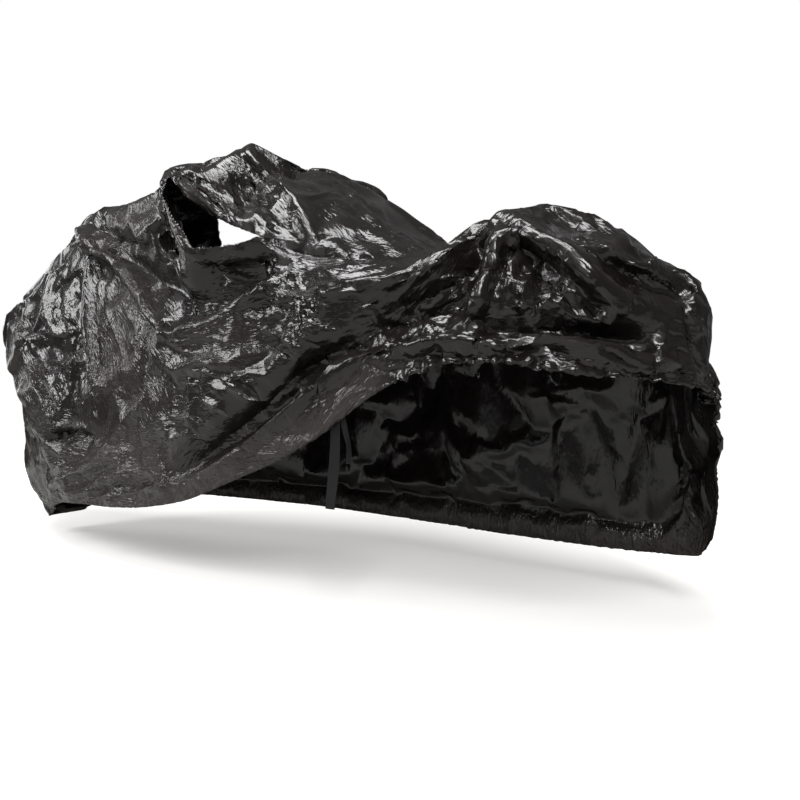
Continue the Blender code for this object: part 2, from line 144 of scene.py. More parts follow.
# Columns: name, place, point it faces, width, height, power in watts.
SOFTBOXES = (
    ("softbox_overhead", (0.2, -1.0, 2.5), (0.2, 0.0, -0.3), 2.4, 1.1, 125.0),
    ("softbox_left", (-2.8, -2.4, 1.3), (-0.5, 0.0, -0.4), 1.3, 1.7, 76.0),
    ("softbox_right", (2.0, -2.4, 1.5), (0.9, 0.0, -0.4), 1.1, 1.5, 105.0),
    ("softbox_rim", (-3.6, 0.5, 0.3), (-1.0, 0.0, -0.5), 1.6, 1.8, 20.0),
    ("softbox_fill", (1.1, -2.6, 0.8), (0.9, 0.0, -0.4), 2.4, 2.0, 14.0),
)
for name, place, aim, width, height, power in SOFTBOXES:
    light = bpy.data.lights.new(name, "AREA")
    light.shape = "RECTANGLE"
    light.size, light.size_y = width, height
    light.energy = power
    lamp = bpy.data.objects.new(name, light)
    lamp.location = place
    lamp.rotation_euler = (Vector(aim) - Vector(place)).to_track_quat("-Z", "Y").to_euler()
    bpy.context.scene.collection.objects.link(lamp)


# ======================================================================================= cover
# The cover is one cut sheet of black polyethylene film, cut long and drawn in at its hem. It came out of
# a small bag, so all of it is crumpled into flat glossy facets between sharp creases. Its near hem is
# pulled up in a diagonal, its far side hangs low.
FILM_THICK = 0.0008                            # thicker than real film, so that its two faces stay apart
GRID_ALONG, GRID_ACROSS = ((1050, 660))
FACE_TRIANGLES = 94000
SHARP_FROM = math.radians(42)                  # film that bends more than this shows a hard edge
FAR_SHOULDER, CROWN_FADE = 4.0, 0.7            # the near flank ends so many columns before that one
NEAR_UP_TO = 3.6                               # small creases that start before that column lie on it

# The settling: the sheet's grid, with more places where its weight is high, how many frames it falls and
# under what share of gravity, how much longer it is than its form, and how far a point may move. Then its
# supports, in places of the grid: how far apart they are, how far they stray and how far in they begin,
# and how firmly it is held at them, where it is tight and elsewhere. Last, how stiff the film is.
SETTLE_ALONG, SETTLE_ACROSS = 300, 190
FINER_NEAR = np.array((1.5, 1.5, 1.2, 0.9, 0.7, 0.7))
SETTLE_FRAMES, SETTLE_GRAVITY = 15, 0.5
SPARE_LENGTH, SETTLE_MOST = 0.02, 0.05
SUPPORT_EVERY, SUPPORT_STRAY, SUPPORT_MARGIN = 15, 6, 4
FIRM_HOLD, TIGHT_HOLD, LOOSE_HOLD = 0.9, 0.3, 0.02
CLOTH_SETTINGS = {
    "quality": 5, "mass": 0.1, "tension_stiffness": 25, "compression_stiffness": 25,
    "shear_stiffness": 8, "bending_stiffness": 0.6, "bending_damping": 0.5, "air_damping": 1.0,
    "pin_stiffness": 1.0, "shrink_min": -SPARE_LENGTH,
}

# One row for each section across the sheet, from the tail to the front. Columns: name, then the ground
# coordinates of the near hem, near shoulder, crown, far shoulder and far hem, then how far each flank
# bellies out between its shoulder and its hem (near, far).
SECTIONS = (
    ("tail_hem", (-0.15, -0.070, 0.085), (-0.20, -0.055, 0.062), (-0.25, 0.000, 0.055),
     (-0.20, 0.065, 0.065), (-0.15, 0.080, 0.090), 0.00, 0.00),
    ("tail_low", (-0.05, -0.120, 0.120), (-0.265, -0.095, 0.260), (-0.35, 0.000, 0.280),
     (-0.30, 0.140, 0.270), (-0.05, 0.140, 0.120), 0.02, 0.02),
    ("tail_mid", (0.10, -0.170, 0.150), (-0.315, -0.108, 0.560), (-0.38, 0.000, 0.560),
     (-0.34, 0.145, 0.560), (0.10, 0.200, 0.135), 0.02, 0.02),
    ("tail_corner", (0.26, -0.205, 0.163), (-0.44, -0.120, 0.775), (-0.445, 0.000, 0.790),
     (-0.43, 0.120, 0.780), (0.26, 0.235, 0.140), 0.03, 0.03),
    ("tail_top", (0.37, -0.225, 0.168), (-0.19, -0.105, 0.940), (-0.20, 0.000, 0.960),
     (-0.20, 0.110, 0.945), (0.37, 0.250, 0.140), 0.02, 0.02),
    ("hump_rear", (0.47, -0.240, 0.175), (0.05, -0.080, 1.105), (0.05, 0.000, 1.120),
     (0.05, 0.085, 1.105), (0.47, 0.260, 0.140), 0.02, 0.02),
    ("hump_front", (0.62, -0.250, 0.190), (0.30, -0.120, 1.085), (0.30, 0.000, 1.110),
     (0.33, 0.120, 1.100), (0.62, 0.265, 0.140), 0.02, 0.02),
    ("ridge_rear", (0.78, -0.255, 0.220), (0.55, -0.180, 1.075), (0.57, -0.010, 1.120),
     (0.62, 0.190, 1.110), (0.80, 0.270, 0.140), 0.02, 0.02),
    ("ridge", (0.90, -0.260, 0.260), (0.69, -0.225, 1.085), (0.78, -0.060, 1.165),
     (1.00, 0.250, 1.155), (0.98, 0.275, 0.135), 0.02, 0.02),
    ("ridge_front", (1.06, -0.265, 0.320), (0.98, -0.220, 0.900), (1.02, -0.010, 1.060),
     (1.12, 0.240, 1.040), (1.14, 0.275, 0.130), 0.02, 0.02),
    ("slope", (1.21, -0.270, 0.385), (1.18, -0.230, 0.740), (1.22, 0.000, 0.930),
     (1.27, 0.230, 0.920), (1.28, 0.275, 0.125), 0.02, 0.02),
    ("valley", (1.37, -0.270, 0.485), (1.36, -0.210, 0.720), (1.39, 0.000, 0.830),
     (1.40, 0.230, 0.830), (1.40, 0.275, 0.120), 0.02, 0.02),
    ("dome_rise", (1.50, -0.275, 0.530), (1.49, -0.160, 0.790), (1.50, 0.000, 0.860),
     (1.50, 0.220, 0.840), (1.50, 0.275, 0.118), 0.02, 0.02),
    ("dome_top", (1.63, -0.280, 0.530), (1.61, -0.140, 0.838), (1.62, 0.000, 0.880),
     (1.62, 0.200, 0.850), (1.62, 0.275, 0.115), 0.02, 0.02),
    ("dome_front", (1.76, -0.250, 0.510), (1.75, -0.130, 0.808), (1.75, 0.000, 0.845),
     (1.75, 0.190, 0.820), (1.74, 0.275, 0.115), 0.02, 0.02),
    ("brow", (1.86, -0.150, 0.500), (1.86, -0.100, 0.715), (1.865, 0.000, 0.745),
     (1.86, 0.180, 0.740), (1.82, 0.275, 0.115), 0.01, 0.02),
    ("corner", (1.92, -0.070, 0.490), (1.925, -0.050, 0.665), (1.925, 0.030, 0.690),
     (1.91, 0.170, 0.680), (1.87, 0.270, 0.118), 0.00, 0.02),
    ("face", (1.93, -0.025, 0.480), (1.940, 0.000, 0.545), (1.940, 0.070, 0.520),
     (1.93, 0.180, 0.480), (1.90, 0.262, 0.122), 0.00, 0.01),
    ("front_hem", (1.937, 0.000, 0.470), (1.942, 0.040, 0.420), (1.942, 0.090, 0.330),
     (1.935, 0.170, 0.200), (1.91, 0.245, 0.130), 0.00, 0.00),
)

# One row for each main fold. Columns: name, flank it lies on, height (a trough is negative), half width,
# then its course as seen square from the side, in (x, z).
FOLDS = (
    ("hem_tuck", "near", -0.050, 0.040,
     ((1.53, 0.68), (1.36, 0.64), (1.27, 0.585), (1.19, 0.535), (1.11, 0.48), (0.98, 0.40), (0.70, 0.265))),
    ("hem_roll", "near", 0.028, 0.030,
     ((1.50, 0.62), (1.41, 0.61), (1.32, 0.56), (1.16, 0.46), (1.00, 0.36), (0.82, 0.28), (0.62, 0.235))),
    ("front_roll", "near", 0.026, 0.018,
     ((1.40, 0.58), (1.48, 0.58), (1.60, 0.57), (1.68, 0.58), (1.78, 0.565), (1.87, 0.54), (1.93, 0.52))),
    ("front_tuck", "near", -0.045, 0.030,
     ((1.58, 0.61), (1.66, 0.607), (1.74, 0.600), (1.81, 0.59), (1.87, 0.578))),
    ("dome_rib_rear", "near", 0.026, 0.016,
     ((1.58, 0.84), (1.59, 0.79), (1.59, 0.73), (1.59, 0.66), (1.57, 0.63))),
    ("dome_dip_rear", "near", -0.030, 0.026, ((1.55, 0.80), (1.545, 0.72), (1.53, 0.66))),
    ("dome_rib_front", "near", 0.030, 0.020,
     ((1.59, 0.83), (1.67, 0.77), (1.72, 0.73), (1.77, 0.68), (1.82, 0.63))),
    ("dome_dip_front", "near", -0.034, 0.024, ((1.62, 0.77), (1.72, 0.69), (1.79, 0.62))),
    ("dome_rib_small", "near", 0.012, 0.012, ((1.73, 0.68), (1.76, 0.64), (1.78, 0.61))),
    ("dome_vee", "near", 0.012, 0.012, ((1.60, 0.79), (1.64, 0.74), (1.62, 0.70))),
    ("brow_rib_high", "near", 0.010, 0.014, ((1.71, 0.79), (1.75, 0.75), (1.78, 0.71))),
    ("brow_rib_low", "near", 0.014, 0.014, ((1.76, 0.75), (1.83, 0.71), (1.86, 0.71))),
    ("brow_dip", "near", -0.015, 0.018, ((1.78, 0.73), (1.84, 0.69), (1.93, 0.675))),
    ("valley_rib", "near", 0.024, 0.024,
     ((1.56, 0.85), (1.50, 0.79), (1.45, 0.74), (1.36, 0.71), (1.20, 0.71))),
    ("valley_dip", "near", -0.034, 0.032,
     ((1.34, 0.645), (1.43, 0.66), (1.50, 0.69), (1.535, 0.73), (1.55, 0.77))),
    ("peak_rib", "near", 0.014, 0.018,
     ((0.78, 1.17), (0.89, 1.10), (0.95, 1.04), (1.02, 0.98), (1.08, 0.90), (1.12, 0.86))),
    ("peak_dip", "near", -0.022, 0.022, ((0.84, 1.09), (0.90, 1.00), (0.94, 0.93))),
    ("lip_rib", "near", 0.014, 0.016, ((0.72, 1.08), (0.85, 0.985), (0.95, 0.91))),
    ("ridge_rib_far", "near", 0.009, 0.015, ((1.05, 1.14), (1.14, 1.04), (1.23, 0.92), (1.31, 0.80))),
    ("slit_pocket", "near", -0.028, 0.035, ((0.84, 0.80), (0.97, 0.78), (1.07, 0.79), (1.11, 0.83))),
    ("slit_rim", "near", 0.022, 0.022,
     ((0.69, 1.06), (0.74, 0.97), (0.77, 0.90), (0.81, 0.85), (0.86, 0.82))),
    ("slope_rib", "near", 0.014, 0.016, ((1.17, 0.77), (1.21, 0.71), (1.29, 0.70), (1.39, 0.72))),
    ("slope_crease", "near", 0.008, 0.014, ((1.15, 0.73), (1.17, 0.65), (1.16, 0.56))),
    ("hump_rib", "near", 0.032, 0.030,
     ((0.00, 1.09), (0.15, 1.00), (0.38, 0.86), (0.55, 0.76), (0.70, 0.65))),
    ("vee_rib", "near", 0.028, 0.026,
     ((0.68, 0.65), (0.83, 0.67), (0.97, 0.70), (1.06, 0.76), (1.12, 0.82))),
    ("vee_hollow", "near", -0.062, 0.056,
     ((0.22, 0.98), (0.40, 0.89), (0.58, 0.80), (0.73, 0.73), (0.88, 0.74), (1.00, 0.79))),
    ("tail_face_edge", "near", 0.022, 0.030,
     ((0.12, 1.03), (0.17, 0.86), (0.25, 0.68), (0.31, 0.52), (0.31, 0.36))),
    ("tail_face_dip", "near", -0.016, 0.040, ((0.04, 0.92), (0.09, 0.78), (0.15, 0.62), (0.19, 0.46))),
    ("hump_dip", "near", -0.022, 0.030, ((0.13, 1.06), (0.32, 0.98), (0.50, 0.92))),
    ("ridge_pocket", "near", -0.045, 0.040, ((0.66, 0.98), (0.62, 0.92), (0.62, 0.86))),
    ("hump_dip_low", "near", -0.020, 0.030, ((0.55, 0.86), (0.65, 0.76), (0.70, 0.67))),
    ("tail_rib", "near", 0.018, 0.022,
     ((-0.40, 0.78), (-0.23, 0.72), (-0.11, 0.59), (0.02, 0.48), (0.12, 0.39))),
    ("tail_pocket", "near", -0.028, 0.026, ((0.04, 0.37), (0.21, 0.36), (0.36, 0.385))),
    ("gather_rib_high", "near", 0.014, 0.022, ((-0.03, 0.19), (0.29, 0.28), (0.48, 0.33))),
    ("gather_rib_low", "near", 0.012, 0.018, ((-0.03, 0.17), (0.36, 0.225), (0.54, 0.27))),
    ("far_drop_front", "far", 0.026, 0.045, ((1.04, 1.10), (1.08, 0.75), (1.16, 0.35))),
    ("far_drop_rear", "far", 0.020, 0.040, ((1.00, 1.10), (0.82, 0.70), (0.74, 0.30))),
    ("far_dip_mid", "far", -0.030, 0.050, ((0.92, 0.95), (0.94, 0.65), (0.95, 0.30))),
    ("far_swag_tail", "far", -0.026, 0.040, ((-0.36, 0.74), (0.05, 0.52), (0.42, 0.42))),
    ("far_swag_hump", "far", 0.022, 0.035, ((0.08, 1.04), (0.30, 0.70), (0.45, 0.32))),
    ("far_dip_valley", "far", -0.028, 0.045, ((1.30, 0.82), (1.36, 0.55), (1.38, 0.25))),
    ("far_rib_dome", "far", 0.020, 0.035, ((1.52, 0.80), (1.56, 0.50), (1.55, 0.20))),
    ("far_rib_front", "far", 0.018, 0.030, ((1.88, 0.66), (1.78, 0.45), (1.72, 0.20))),
    ("far_hem_roll", "far", 0.012, 0.025, ((0.10, 0.20), (0.80, 0.21), (1.30, 0.20), (1.85, 0.19))),
)
FOLD_SHARPNESS, CREASE_SHARPNESS = 1.6, 1.1    # 2 is a round crest, 1 a sharp one

# Where the film is held up from below in a point, like a tent. Columns: the place, how far it is pushed
# out, how far round it the film is lifted.
TENTS = (
    ((0.78, -0.05, 1.165), 0.050, 0.13),
    ((0.69, -0.225, 1.085), 0.010, 0.06),
    ((0.03, -0.03, 1.115), 0.012, 0.14),
    ((-0.445, 0.00, 0.790), 0.016, 0.16),
    ((1.60, -0.13, 0.845), 0.014, 0.09),
    ((1.93, 0.00, 0.680), 0.012, 0.10),
)

# The two slits, as outlines seen square from the side in (x, z), each through one flank only, where it is
# further than SLITS_FROM from the middle.
SLITS_FROM = 0.10
SLITS = {
    "near": ((0.700, 1.070), (0.770, 1.000), (0.840, 0.945), (0.920, 0.903), (1.000, 0.868),
             (0.940, 0.850), (0.830, 0.850), (0.775, 0.920), (0.715, 1.000)),
    "far": ((0.450, 1.108), (0.560, 1.112), (0.760, 1.118), (0.960, 1.125), (0.800, 1.075),
            (0.620, 1.025), (0.500, 1.010), (0.420, 1.020)),
}

# Smaller creases given one by one on the near side, in the same columns as the folds, but sharp.
CREASES = (
    ("slit_rim_roll", "near", 0.020, 0.022,
     ((0.620, 1.120), (0.740, 0.980), (0.765, 0.930), (0.810, 0.875), (0.850, 0.840))),
    ("slit_side_pocket", "near", -0.050, 0.030,
     ((0.665, 1.000), (0.600, 0.965), (0.590, 0.910), (0.730, 0.865))),
    ("shoulder_line", "near", -0.010, 0.009, ((0.060, 1.100), (0.270, 0.995), (0.545, 0.915))),
    ("rear_ridge", "near", 0.018, 0.014,
     ((0.025, 1.075), (0.175, 0.970), (0.365, 0.880), (0.520, 0.775), (0.640, 0.670), (0.685, 0.645))),
    ("rear_ridge_side", "near", -0.016, 0.018,
     ((0.175, 0.990), (0.380, 0.900), (0.550, 0.785), (0.650, 0.690))),
    ("lower_lip", "near", 0.010, 0.008, ((0.840, 0.845), (0.895, 0.855), (0.985, 0.850), (1.035, 0.865))),
    ("under_lip", "near", -0.026, 0.020, ((0.845, 0.810), (0.890, 0.800), (0.975, 0.795), (1.040, 0.810))),
    ("lip_strip_a", "near", 0.016, 0.012, ((0.635, 1.115), (0.790, 1.000), (0.865, 0.940), (0.920, 0.915))),
    ("lip_dip_a", "near", -0.016, 0.010, ((0.705, 1.090), (0.805, 1.015), (0.880, 0.950), (0.900, 0.935))),
    ("lip_strip_b", "near", 0.014, 0.010, ((0.725, 1.090), (0.850, 1.005), (0.900, 0.945), (0.930, 0.915))),
    ("peak_pocket", "near", -0.035, 0.018, ((0.850, 1.080), (0.870, 1.030), (0.880, 0.980))),
    ("peak_line", "near", -0.010, 0.007, ((0.795, 1.185), (0.890, 1.070), (0.960, 0.970), (1.030, 0.880))),
    ("peak_strip", "near", 0.012, 0.012,
     ((0.895, 1.110), (0.965, 1.035), (1.030, 0.980), (1.090, 0.900), (1.120, 0.855))),
    ("peak_strip_b", "near", 0.008, 0.008, ((0.885, 1.060), (0.925, 0.990), (0.970, 0.920))),
    ("far_edge_line", "near", -0.009, 0.007,
     ((1.055, 1.135), (1.150, 1.030), (1.225, 0.930), (1.290, 0.840))),
    ("ridge_foot", "near", -0.009, 0.008, ((1.040, 0.850), (1.095, 0.825), (1.200, 0.810), (1.305, 0.800))),
    ("gloss_patch", "near", 0.009, 0.012, ((1.145, 0.770), (1.215, 0.765), (1.280, 0.780))),
    ("patch_foot", "near", 0.009, 0.007,
     ((1.435, 0.740), (1.380, 0.720), (1.325, 0.700), (1.225, 0.695), (1.215, 0.655))),
    ("patch_side", "near", 0.007, 0.006, ((1.160, 0.775), (1.225, 0.700))),
    ("dome_a", "near", 0.018, 0.017, ((1.595, 0.790), (1.595, 0.745), (1.590, 0.680), (1.565, 0.620))),
    ("dome_a_side", "near", -0.014, 0.014, ((1.615, 0.760), (1.615, 0.715), (1.605, 0.655))),
    ("dome_b", "near", 0.018, 0.020,
     ((1.615, 0.800), (1.665, 0.770), (1.730, 0.720), (1.770, 0.680), (1.805, 0.630), (1.820, 0.620))),
    ("dome_b_side", "near", -0.014, 0.015,
     ((1.630, 0.765), (1.685, 0.720), (1.740, 0.665), (1.780, 0.625))),
    ("dome_c", "near", 0.012, 0.010,
     ((1.605, 0.790), (1.625, 0.770), (1.630, 0.745), (1.625, 0.715), (1.630, 0.655))),
    ("dome_d", "near", 0.012, 0.010, ((1.720, 0.690), (1.725, 0.655), (1.710, 0.630))),
    ("dome_e", "near", 0.013, 0.011, ((1.730, 0.680), (1.750, 0.650), (1.770, 0.615), (1.800, 0.605))),
    ("dome_f", "near", 0.008, 0.007, ((1.725, 0.780), (1.745, 0.750), (1.775, 0.715))),
    ("dome_g", "near", 0.009, 0.008, ((1.760, 0.755), (1.815, 0.715), (1.850, 0.710), (1.865, 0.750))),
    ("dome_g_dip", "near", -0.014, 0.012, ((1.775, 0.725), (1.825, 0.695), (1.880, 0.680), (1.915, 0.665))),
    ("dome_fill", "near", 0.012, 0.014, ((1.650, 0.730), (1.700, 0.690), (1.750, 0.640))),
    ("dome_zig", "near", 0.007, 0.006, ((1.800, 0.790), (1.815, 0.750), (1.830, 0.750))),
    ("dome_facet_a", "near", 0.012, 0.010, ((1.640, 0.745), (1.660, 0.675), (1.655, 0.630))),
    ("dome_facet_b", "near", -0.010, 0.009, ((1.655, 0.730), (1.685, 0.665), (1.670, 0.620))),
    ("dome_facet_c", "near", 0.012, 0.010, ((1.680, 0.715), (1.705, 0.665), (1.690, 0.625))),
    ("brow_side", "near", 0.009, 0.008, ((1.920, 0.685), (1.915, 0.640), (1.905, 0.620))),
    ("brow_drop", "near", 0.008, 0.008, ((1.935, 0.645), (1.930, 0.600), (1.910, 0.580))),
    ("roll_crest", "near", 0.012, 0.010,
     ((1.450, 0.580), (1.530, 0.580), (1.595, 0.570), (1.630, 0.560), (1.685, 0.565), (1.705, 0.575),
      (1.750, 0.565), (1.790, 0.560), (1.860, 0.540), (1.915, 0.525))),
    ("roll_top_dip", "near", -0.016, 0.012,
     ((1.675, 0.595), (1.745, 0.590), (1.810, 0.575), (1.870, 0.562))),
    ("roll_foot", "near", -0.008, 0.007,
     ((1.475, 0.560), (1.570, 0.540), (1.655, 0.550), (1.705, 0.560), (1.740, 0.540), (1.790, 0.520),
      (1.820, 0.505))),
    ("valley_top", "near", 0.010, 0.008, ((1.355, 0.700), (1.445, 0.725), (1.525, 0.800), (1.585, 0.820))),
    ("valley_deep", "near", -0.018, 0.018,
     ((1.370, 0.655), (1.430, 0.672), (1.495, 0.695), (1.535, 0.735), (1.550, 0.765))),
    ("valley_rim", "near", 0.010, 0.008,
     ((1.390, 0.655), (1.460, 0.665), (1.510, 0.685), (1.535, 0.720), (1.555, 0.765))),
    ("facet_near_roll", "near", 0.008, 0.007, ((1.395, 0.605), (1.375, 0.640), (1.475, 0.610))),
    ("facet_near_roll_b", "near", 0.007, 0.006, ((1.425, 0.575), (1.435, 0.605), (1.385, 0.650))),
    ("vee_left", "near", 0.009, 0.008, ((0.685, 0.645), (0.615, 0.750), (0.550, 0.820))),
    ("vee_right", "near", 0.009, 0.009, ((0.685, 0.645), (0.820, 0.670), (0.970, 0.715), (1.090, 0.715))),
    ("vee_floor", "near", -0.014, 0.014, ((0.705, 0.710), (0.830, 0.715), (0.945, 0.745), (1.025, 0.760))),
    ("tail_edge_a", "near", 0.008, 0.007,
     ((-0.360, 0.800), (-0.165, 0.620), (0.035, 0.475), (0.075, 0.385))),
    ("tail_edge_b", "near", -0.007, 0.006,
     ((-0.295, 0.785), (-0.115, 0.615), (0.065, 0.475), (0.120, 0.390))),
    ("tail_edge_c", "near", 0.006, 0.006, ((-0.220, 0.735), (-0.040, 0.590), (0.100, 0.465))),
    ("tail_edge", "near", 0.015, 0.015, ((0.130, 1.020), (0.165, 0.890), (0.235, 0.700), (0.300, 0.520))),
    ("plait_line", "near", -0.012, 0.010, ((0.170, 0.970), (0.205, 0.855), (0.275, 0.670), (0.320, 0.540))),
    ("tail_tuck", "near", -0.022, 0.011, ((0.040, 0.355), (0.155, 0.375), (0.295, 0.360))),
    ("tail_tuck_top", "near", 0.008, 0.007, ((0.060, 0.390), (0.195, 0.405), (0.320, 0.390))),
    ("swag_a", "near", 0.008, 0.008, ((-0.010, 0.185), (0.350, 0.285), (0.500, 0.310))),
    ("swag_b", "near", 0.007, 0.007, ((0.120, 0.255), (0.340, 0.325), (0.555, 0.335))),
    ("swag_c", "near", 0.007, 0.007, ((0.340, 0.235), (0.525, 0.280), (0.705, 0.305))),
    ("hem_rise", "near", 0.008, 0.008, ((0.085, 0.155), (0.515, 0.215), (0.710, 0.255), (0.835, 0.290))),
    ("hem_rise_dip", "near", -0.008, 0.007, ((0.205, 0.195), (0.510, 0.235), (0.785, 0.275))),
    ("band_edge", "near", 0.014, 0.012,
     ((1.380, 0.630), (1.290, 0.560), (1.250, 0.515), (1.170, 0.460), (1.010, 0.360), (0.840, 0.272))),
    ("band_dip", "near", -0.010, 0.010,
     ((1.275, 0.595), (1.160, 0.535), (1.055, 0.465), (0.925, 0.390), (0.790, 0.315))),
    ("fold_pocket", "near", -0.016, 0.016, ((1.215, 0.565), (1.170, 0.530), (1.130, 0.500))),
    ("wave_a", "near", 0.009, 0.007, ((1.030, 0.640), (1.085, 0.620), (1.140, 0.600), (1.165, 0.575))),
    ("wave_b", "near", 0.008, 0.006, ((1.180, 0.625), (1.220, 0.625), (1.260, 0.620))),
    ("wave_dip", "near", -0.008, 0.008, ((1.045, 0.605), (1.110, 0.580), (1.145, 0.555))),
    ("upright_line", "near", -0.007, 0.006, ((1.140, 0.740), (1.175, 0.655), (1.165, 0.585))),
    ("arc_a", "near", 0.007, 0.006, ((0.820, 0.550), (0.920, 0.535), (1.005, 0.475), (1.065, 0.470))),
    ("arc_b", "near", 0.006, 0.006, ((0.710, 0.435), (0.830, 0.425))),
    ("arc_c", "near", 0.006, 0.006, ((0.425, 0.480), (0.505, 0.400), (0.485, 0.365))),
    ("glint_a", "near", 0.008, 0.007, ((1.050, 0.700), (1.080, 0.685), (1.105, 0.660))),
    ("glint_b", "near", 0.008, 0.007, ((1.195, 0.680), (1.220, 0.660), (1.235, 0.675))),
    ("crush_a", "near", 0.007, 0.006, ((-0.120, 0.730), (0.015, 0.700), (0.135, 0.710))),
    ("crush_b", "near", -0.006, 0.006, ((-0.095, 0.675), (0.070, 0.640), (0.215, 0.660))),
    ("crush_c", "near", 0.007, 0.006, ((-0.040, 0.615), (0.095, 0.595), (0.225, 0.605))),
    ("crush_d", "near", 0.006, 0.006, ((0.005, 0.785), (0.105, 0.725), (0.130, 0.665))),
    ("crush_e", "near", 0.006, 0.006, ((0.020, 0.860), (0.110, 0.815), (0.185, 0.745))),
    ("rear_streak_a", "near", 0.005, 0.006, ((0.315, 0.850), (0.425, 0.745), (0.540, 0.635))),
    ("rear_streak_b", "near", 0.005, 0.006, ((0.280, 0.795), (0.375, 0.675), (0.460, 0.560))),
    ("rear_streak_c", "near", 0.005, 0.006, ((0.465, 0.655), (0.585, 0.555), (0.640, 0.450))),
    ("rear_streak_d", "near", 0.005, 0.006, ((0.630, 0.625), (0.680, 0.530), (0.715, 0.450))),
    ("rear_streak_e", "near", 0.005, 0.006, ((0.735, 0.620), (0.845, 0.575), (0.930, 0.550))),
    ("rear_streak_f", "near", 0.005, 0.006, ((0.850, 0.635), (0.930, 0.615), (1.000, 0.585))),
    ("mid_facet_a", "near", 0.007, 0.006, ((0.925, 0.520), (0.995, 0.525), (1.050, 0.500))),
    ("mid_facet_b", "near", 0.006, 0.006, ((0.860, 0.475), (0.935, 0.450), (0.960, 0.415))),
    ("mid_facet_c", "near", 0.006, 0.006, ((0.665, 0.370), (0.800, 0.385), (0.870, 0.375))),
)

# The turned hem: a matt band that fades between 0.3 and 1.3 of its width, and turns into a glossy roll
# between two places in x. Then its gathers, how their pitch strays, and what share of them the band has.
HEM_BAND, HEM_FADE = 0.07, 1.3
HEM_TURNS_GLOSSY = (1.34, 1.42)
GATHER_PITCH, GATHER_HEIGHT, GATHER_REACH = 0.034, 0.0045, 0.035
GATHER_STRAY, GATHER_STRAY_WAVE, GATHER_REAR = 2.0, 23.0, 0.25

# Where the film is crushed so finely that it looks matt and grey: the grey is partly its own bloom, partly a
# painted sheen. Columns: the patch's middle in (x, z), its reach both ways, how matt and grey it is.
CRUSHED_AND_SHEEN = (
    (0.42, 0.66, 0.16, 0.26, 0.8), (0.45, 0.30, 0.42, 0.13, 0.85), (0.60, 0.50, 0.18, 0.12, 0.5),
    (0.30, 1.02, 0.20, 0.09, 0.75), (0.77, 0.95, 0.035, 0.09, 0.8), (-0.28, 0.66, 0.07, 0.11, 0.75),
    (-0.14, 0.54, 0.08, 0.08, 0.75), (0.00, 0.42, 0.08, 0.07, 0.6), (0.88, 0.62, 0.18, 0.10, 0.4),
)

# Where the film is pulled smooth, in the same columns. Elsewhere smooth and crumpled patches come and go.
PULLED = (
    (1.28, 0.73, 0.09, 0.035, 0.8), (1.10, 1.00, 0.10, 0.12, 0.5), (1.47, 0.70, 0.10, 0.06, 0.8),
    (1.85, 0.61, 0.10, 0.06, 0.7), (1.49, 0.77, 0.07, 0.04, 0.6), (1.24, 0.54, 0.12, 0.06, 0.85),
    (1.09, 0.43, 0.08, 0.05, 0.8), (0.62, 0.91, 0.12, 0.11, 0.9), (0.64, 0.78, 0.09, 0.07, 0.85),
    (-0.20, 0.93, 0.10, 0.08, 0.9), (0.98, 0.42, 0.12, 0.05, 0.8), (0.80, 0.33, 0.14, 0.04, 0.8),
    (1.52, 0.70, 0.04, 0.08, 0.7), (1.80, 0.77, 0.07, 0.04, 0.5), (0.44, 0.90, 0.13, 0.06, 0.8),
    (0.62, 0.82, 0.11, 0.06, 0.85), (0.80, 0.76, 0.14, 0.07, 0.35), (1.78, 0.59, 0.12, 0.03, 0.9),
    (0.98, 0.52, 0.16, 0.06, 0.6), (1.16, 0.99, 0.06, 0.12, 0.6), (1.15, 0.90, 0.05, 0.06, 0.75),
    (1.25, 0.88, 0.05, 0.06, 0.7), (0.95, 0.92, 0.05, 0.04, 0.8), (-0.02, 0.97, 0.10, 0.10, 0.85),
    (0.28, 1.12, 0.24, 0.05, 0.7), (1.04, 1.08, 0.11, 0.08, 0.8), (1.26, 0.825, 0.06, 0.02, 0.7),
)

# How strongly the film is crumpled, 1 for a hard crumple: its mean and swing over patches of that pitch,
# its limits, and the share of it on the far flank. Then how much smoother the film is at the matt band,
# at the crests of creases this high, and where it is pulled, and what of its creases smooth film keeps.
CRUMPLE_MEAN, CRUMPLE_SWING, PATCH_PITCH = 0.25, 0.30, 0.11
CRUMPLE_LIMITS, FAR_CRUMPLE = (0.08, 1.1), 0.6
MATT_SMOOTHS, MATT_FLATTENS = 0.75, 0.6
CREST_FROM, CREST_SMOOTH = 0.009, 0.75
TIGHT_FLATTENS, SMOOTH_KEEPS = 0.8, 0.22
CRUMPLE_PITCH, CRUMPLE_HEIGHT = 0.13, 0.005    # broad dimples of the whole sheet
MEAN_TO_SEED = 0.55                            # about the mean distance to the nearest seed, in pitches

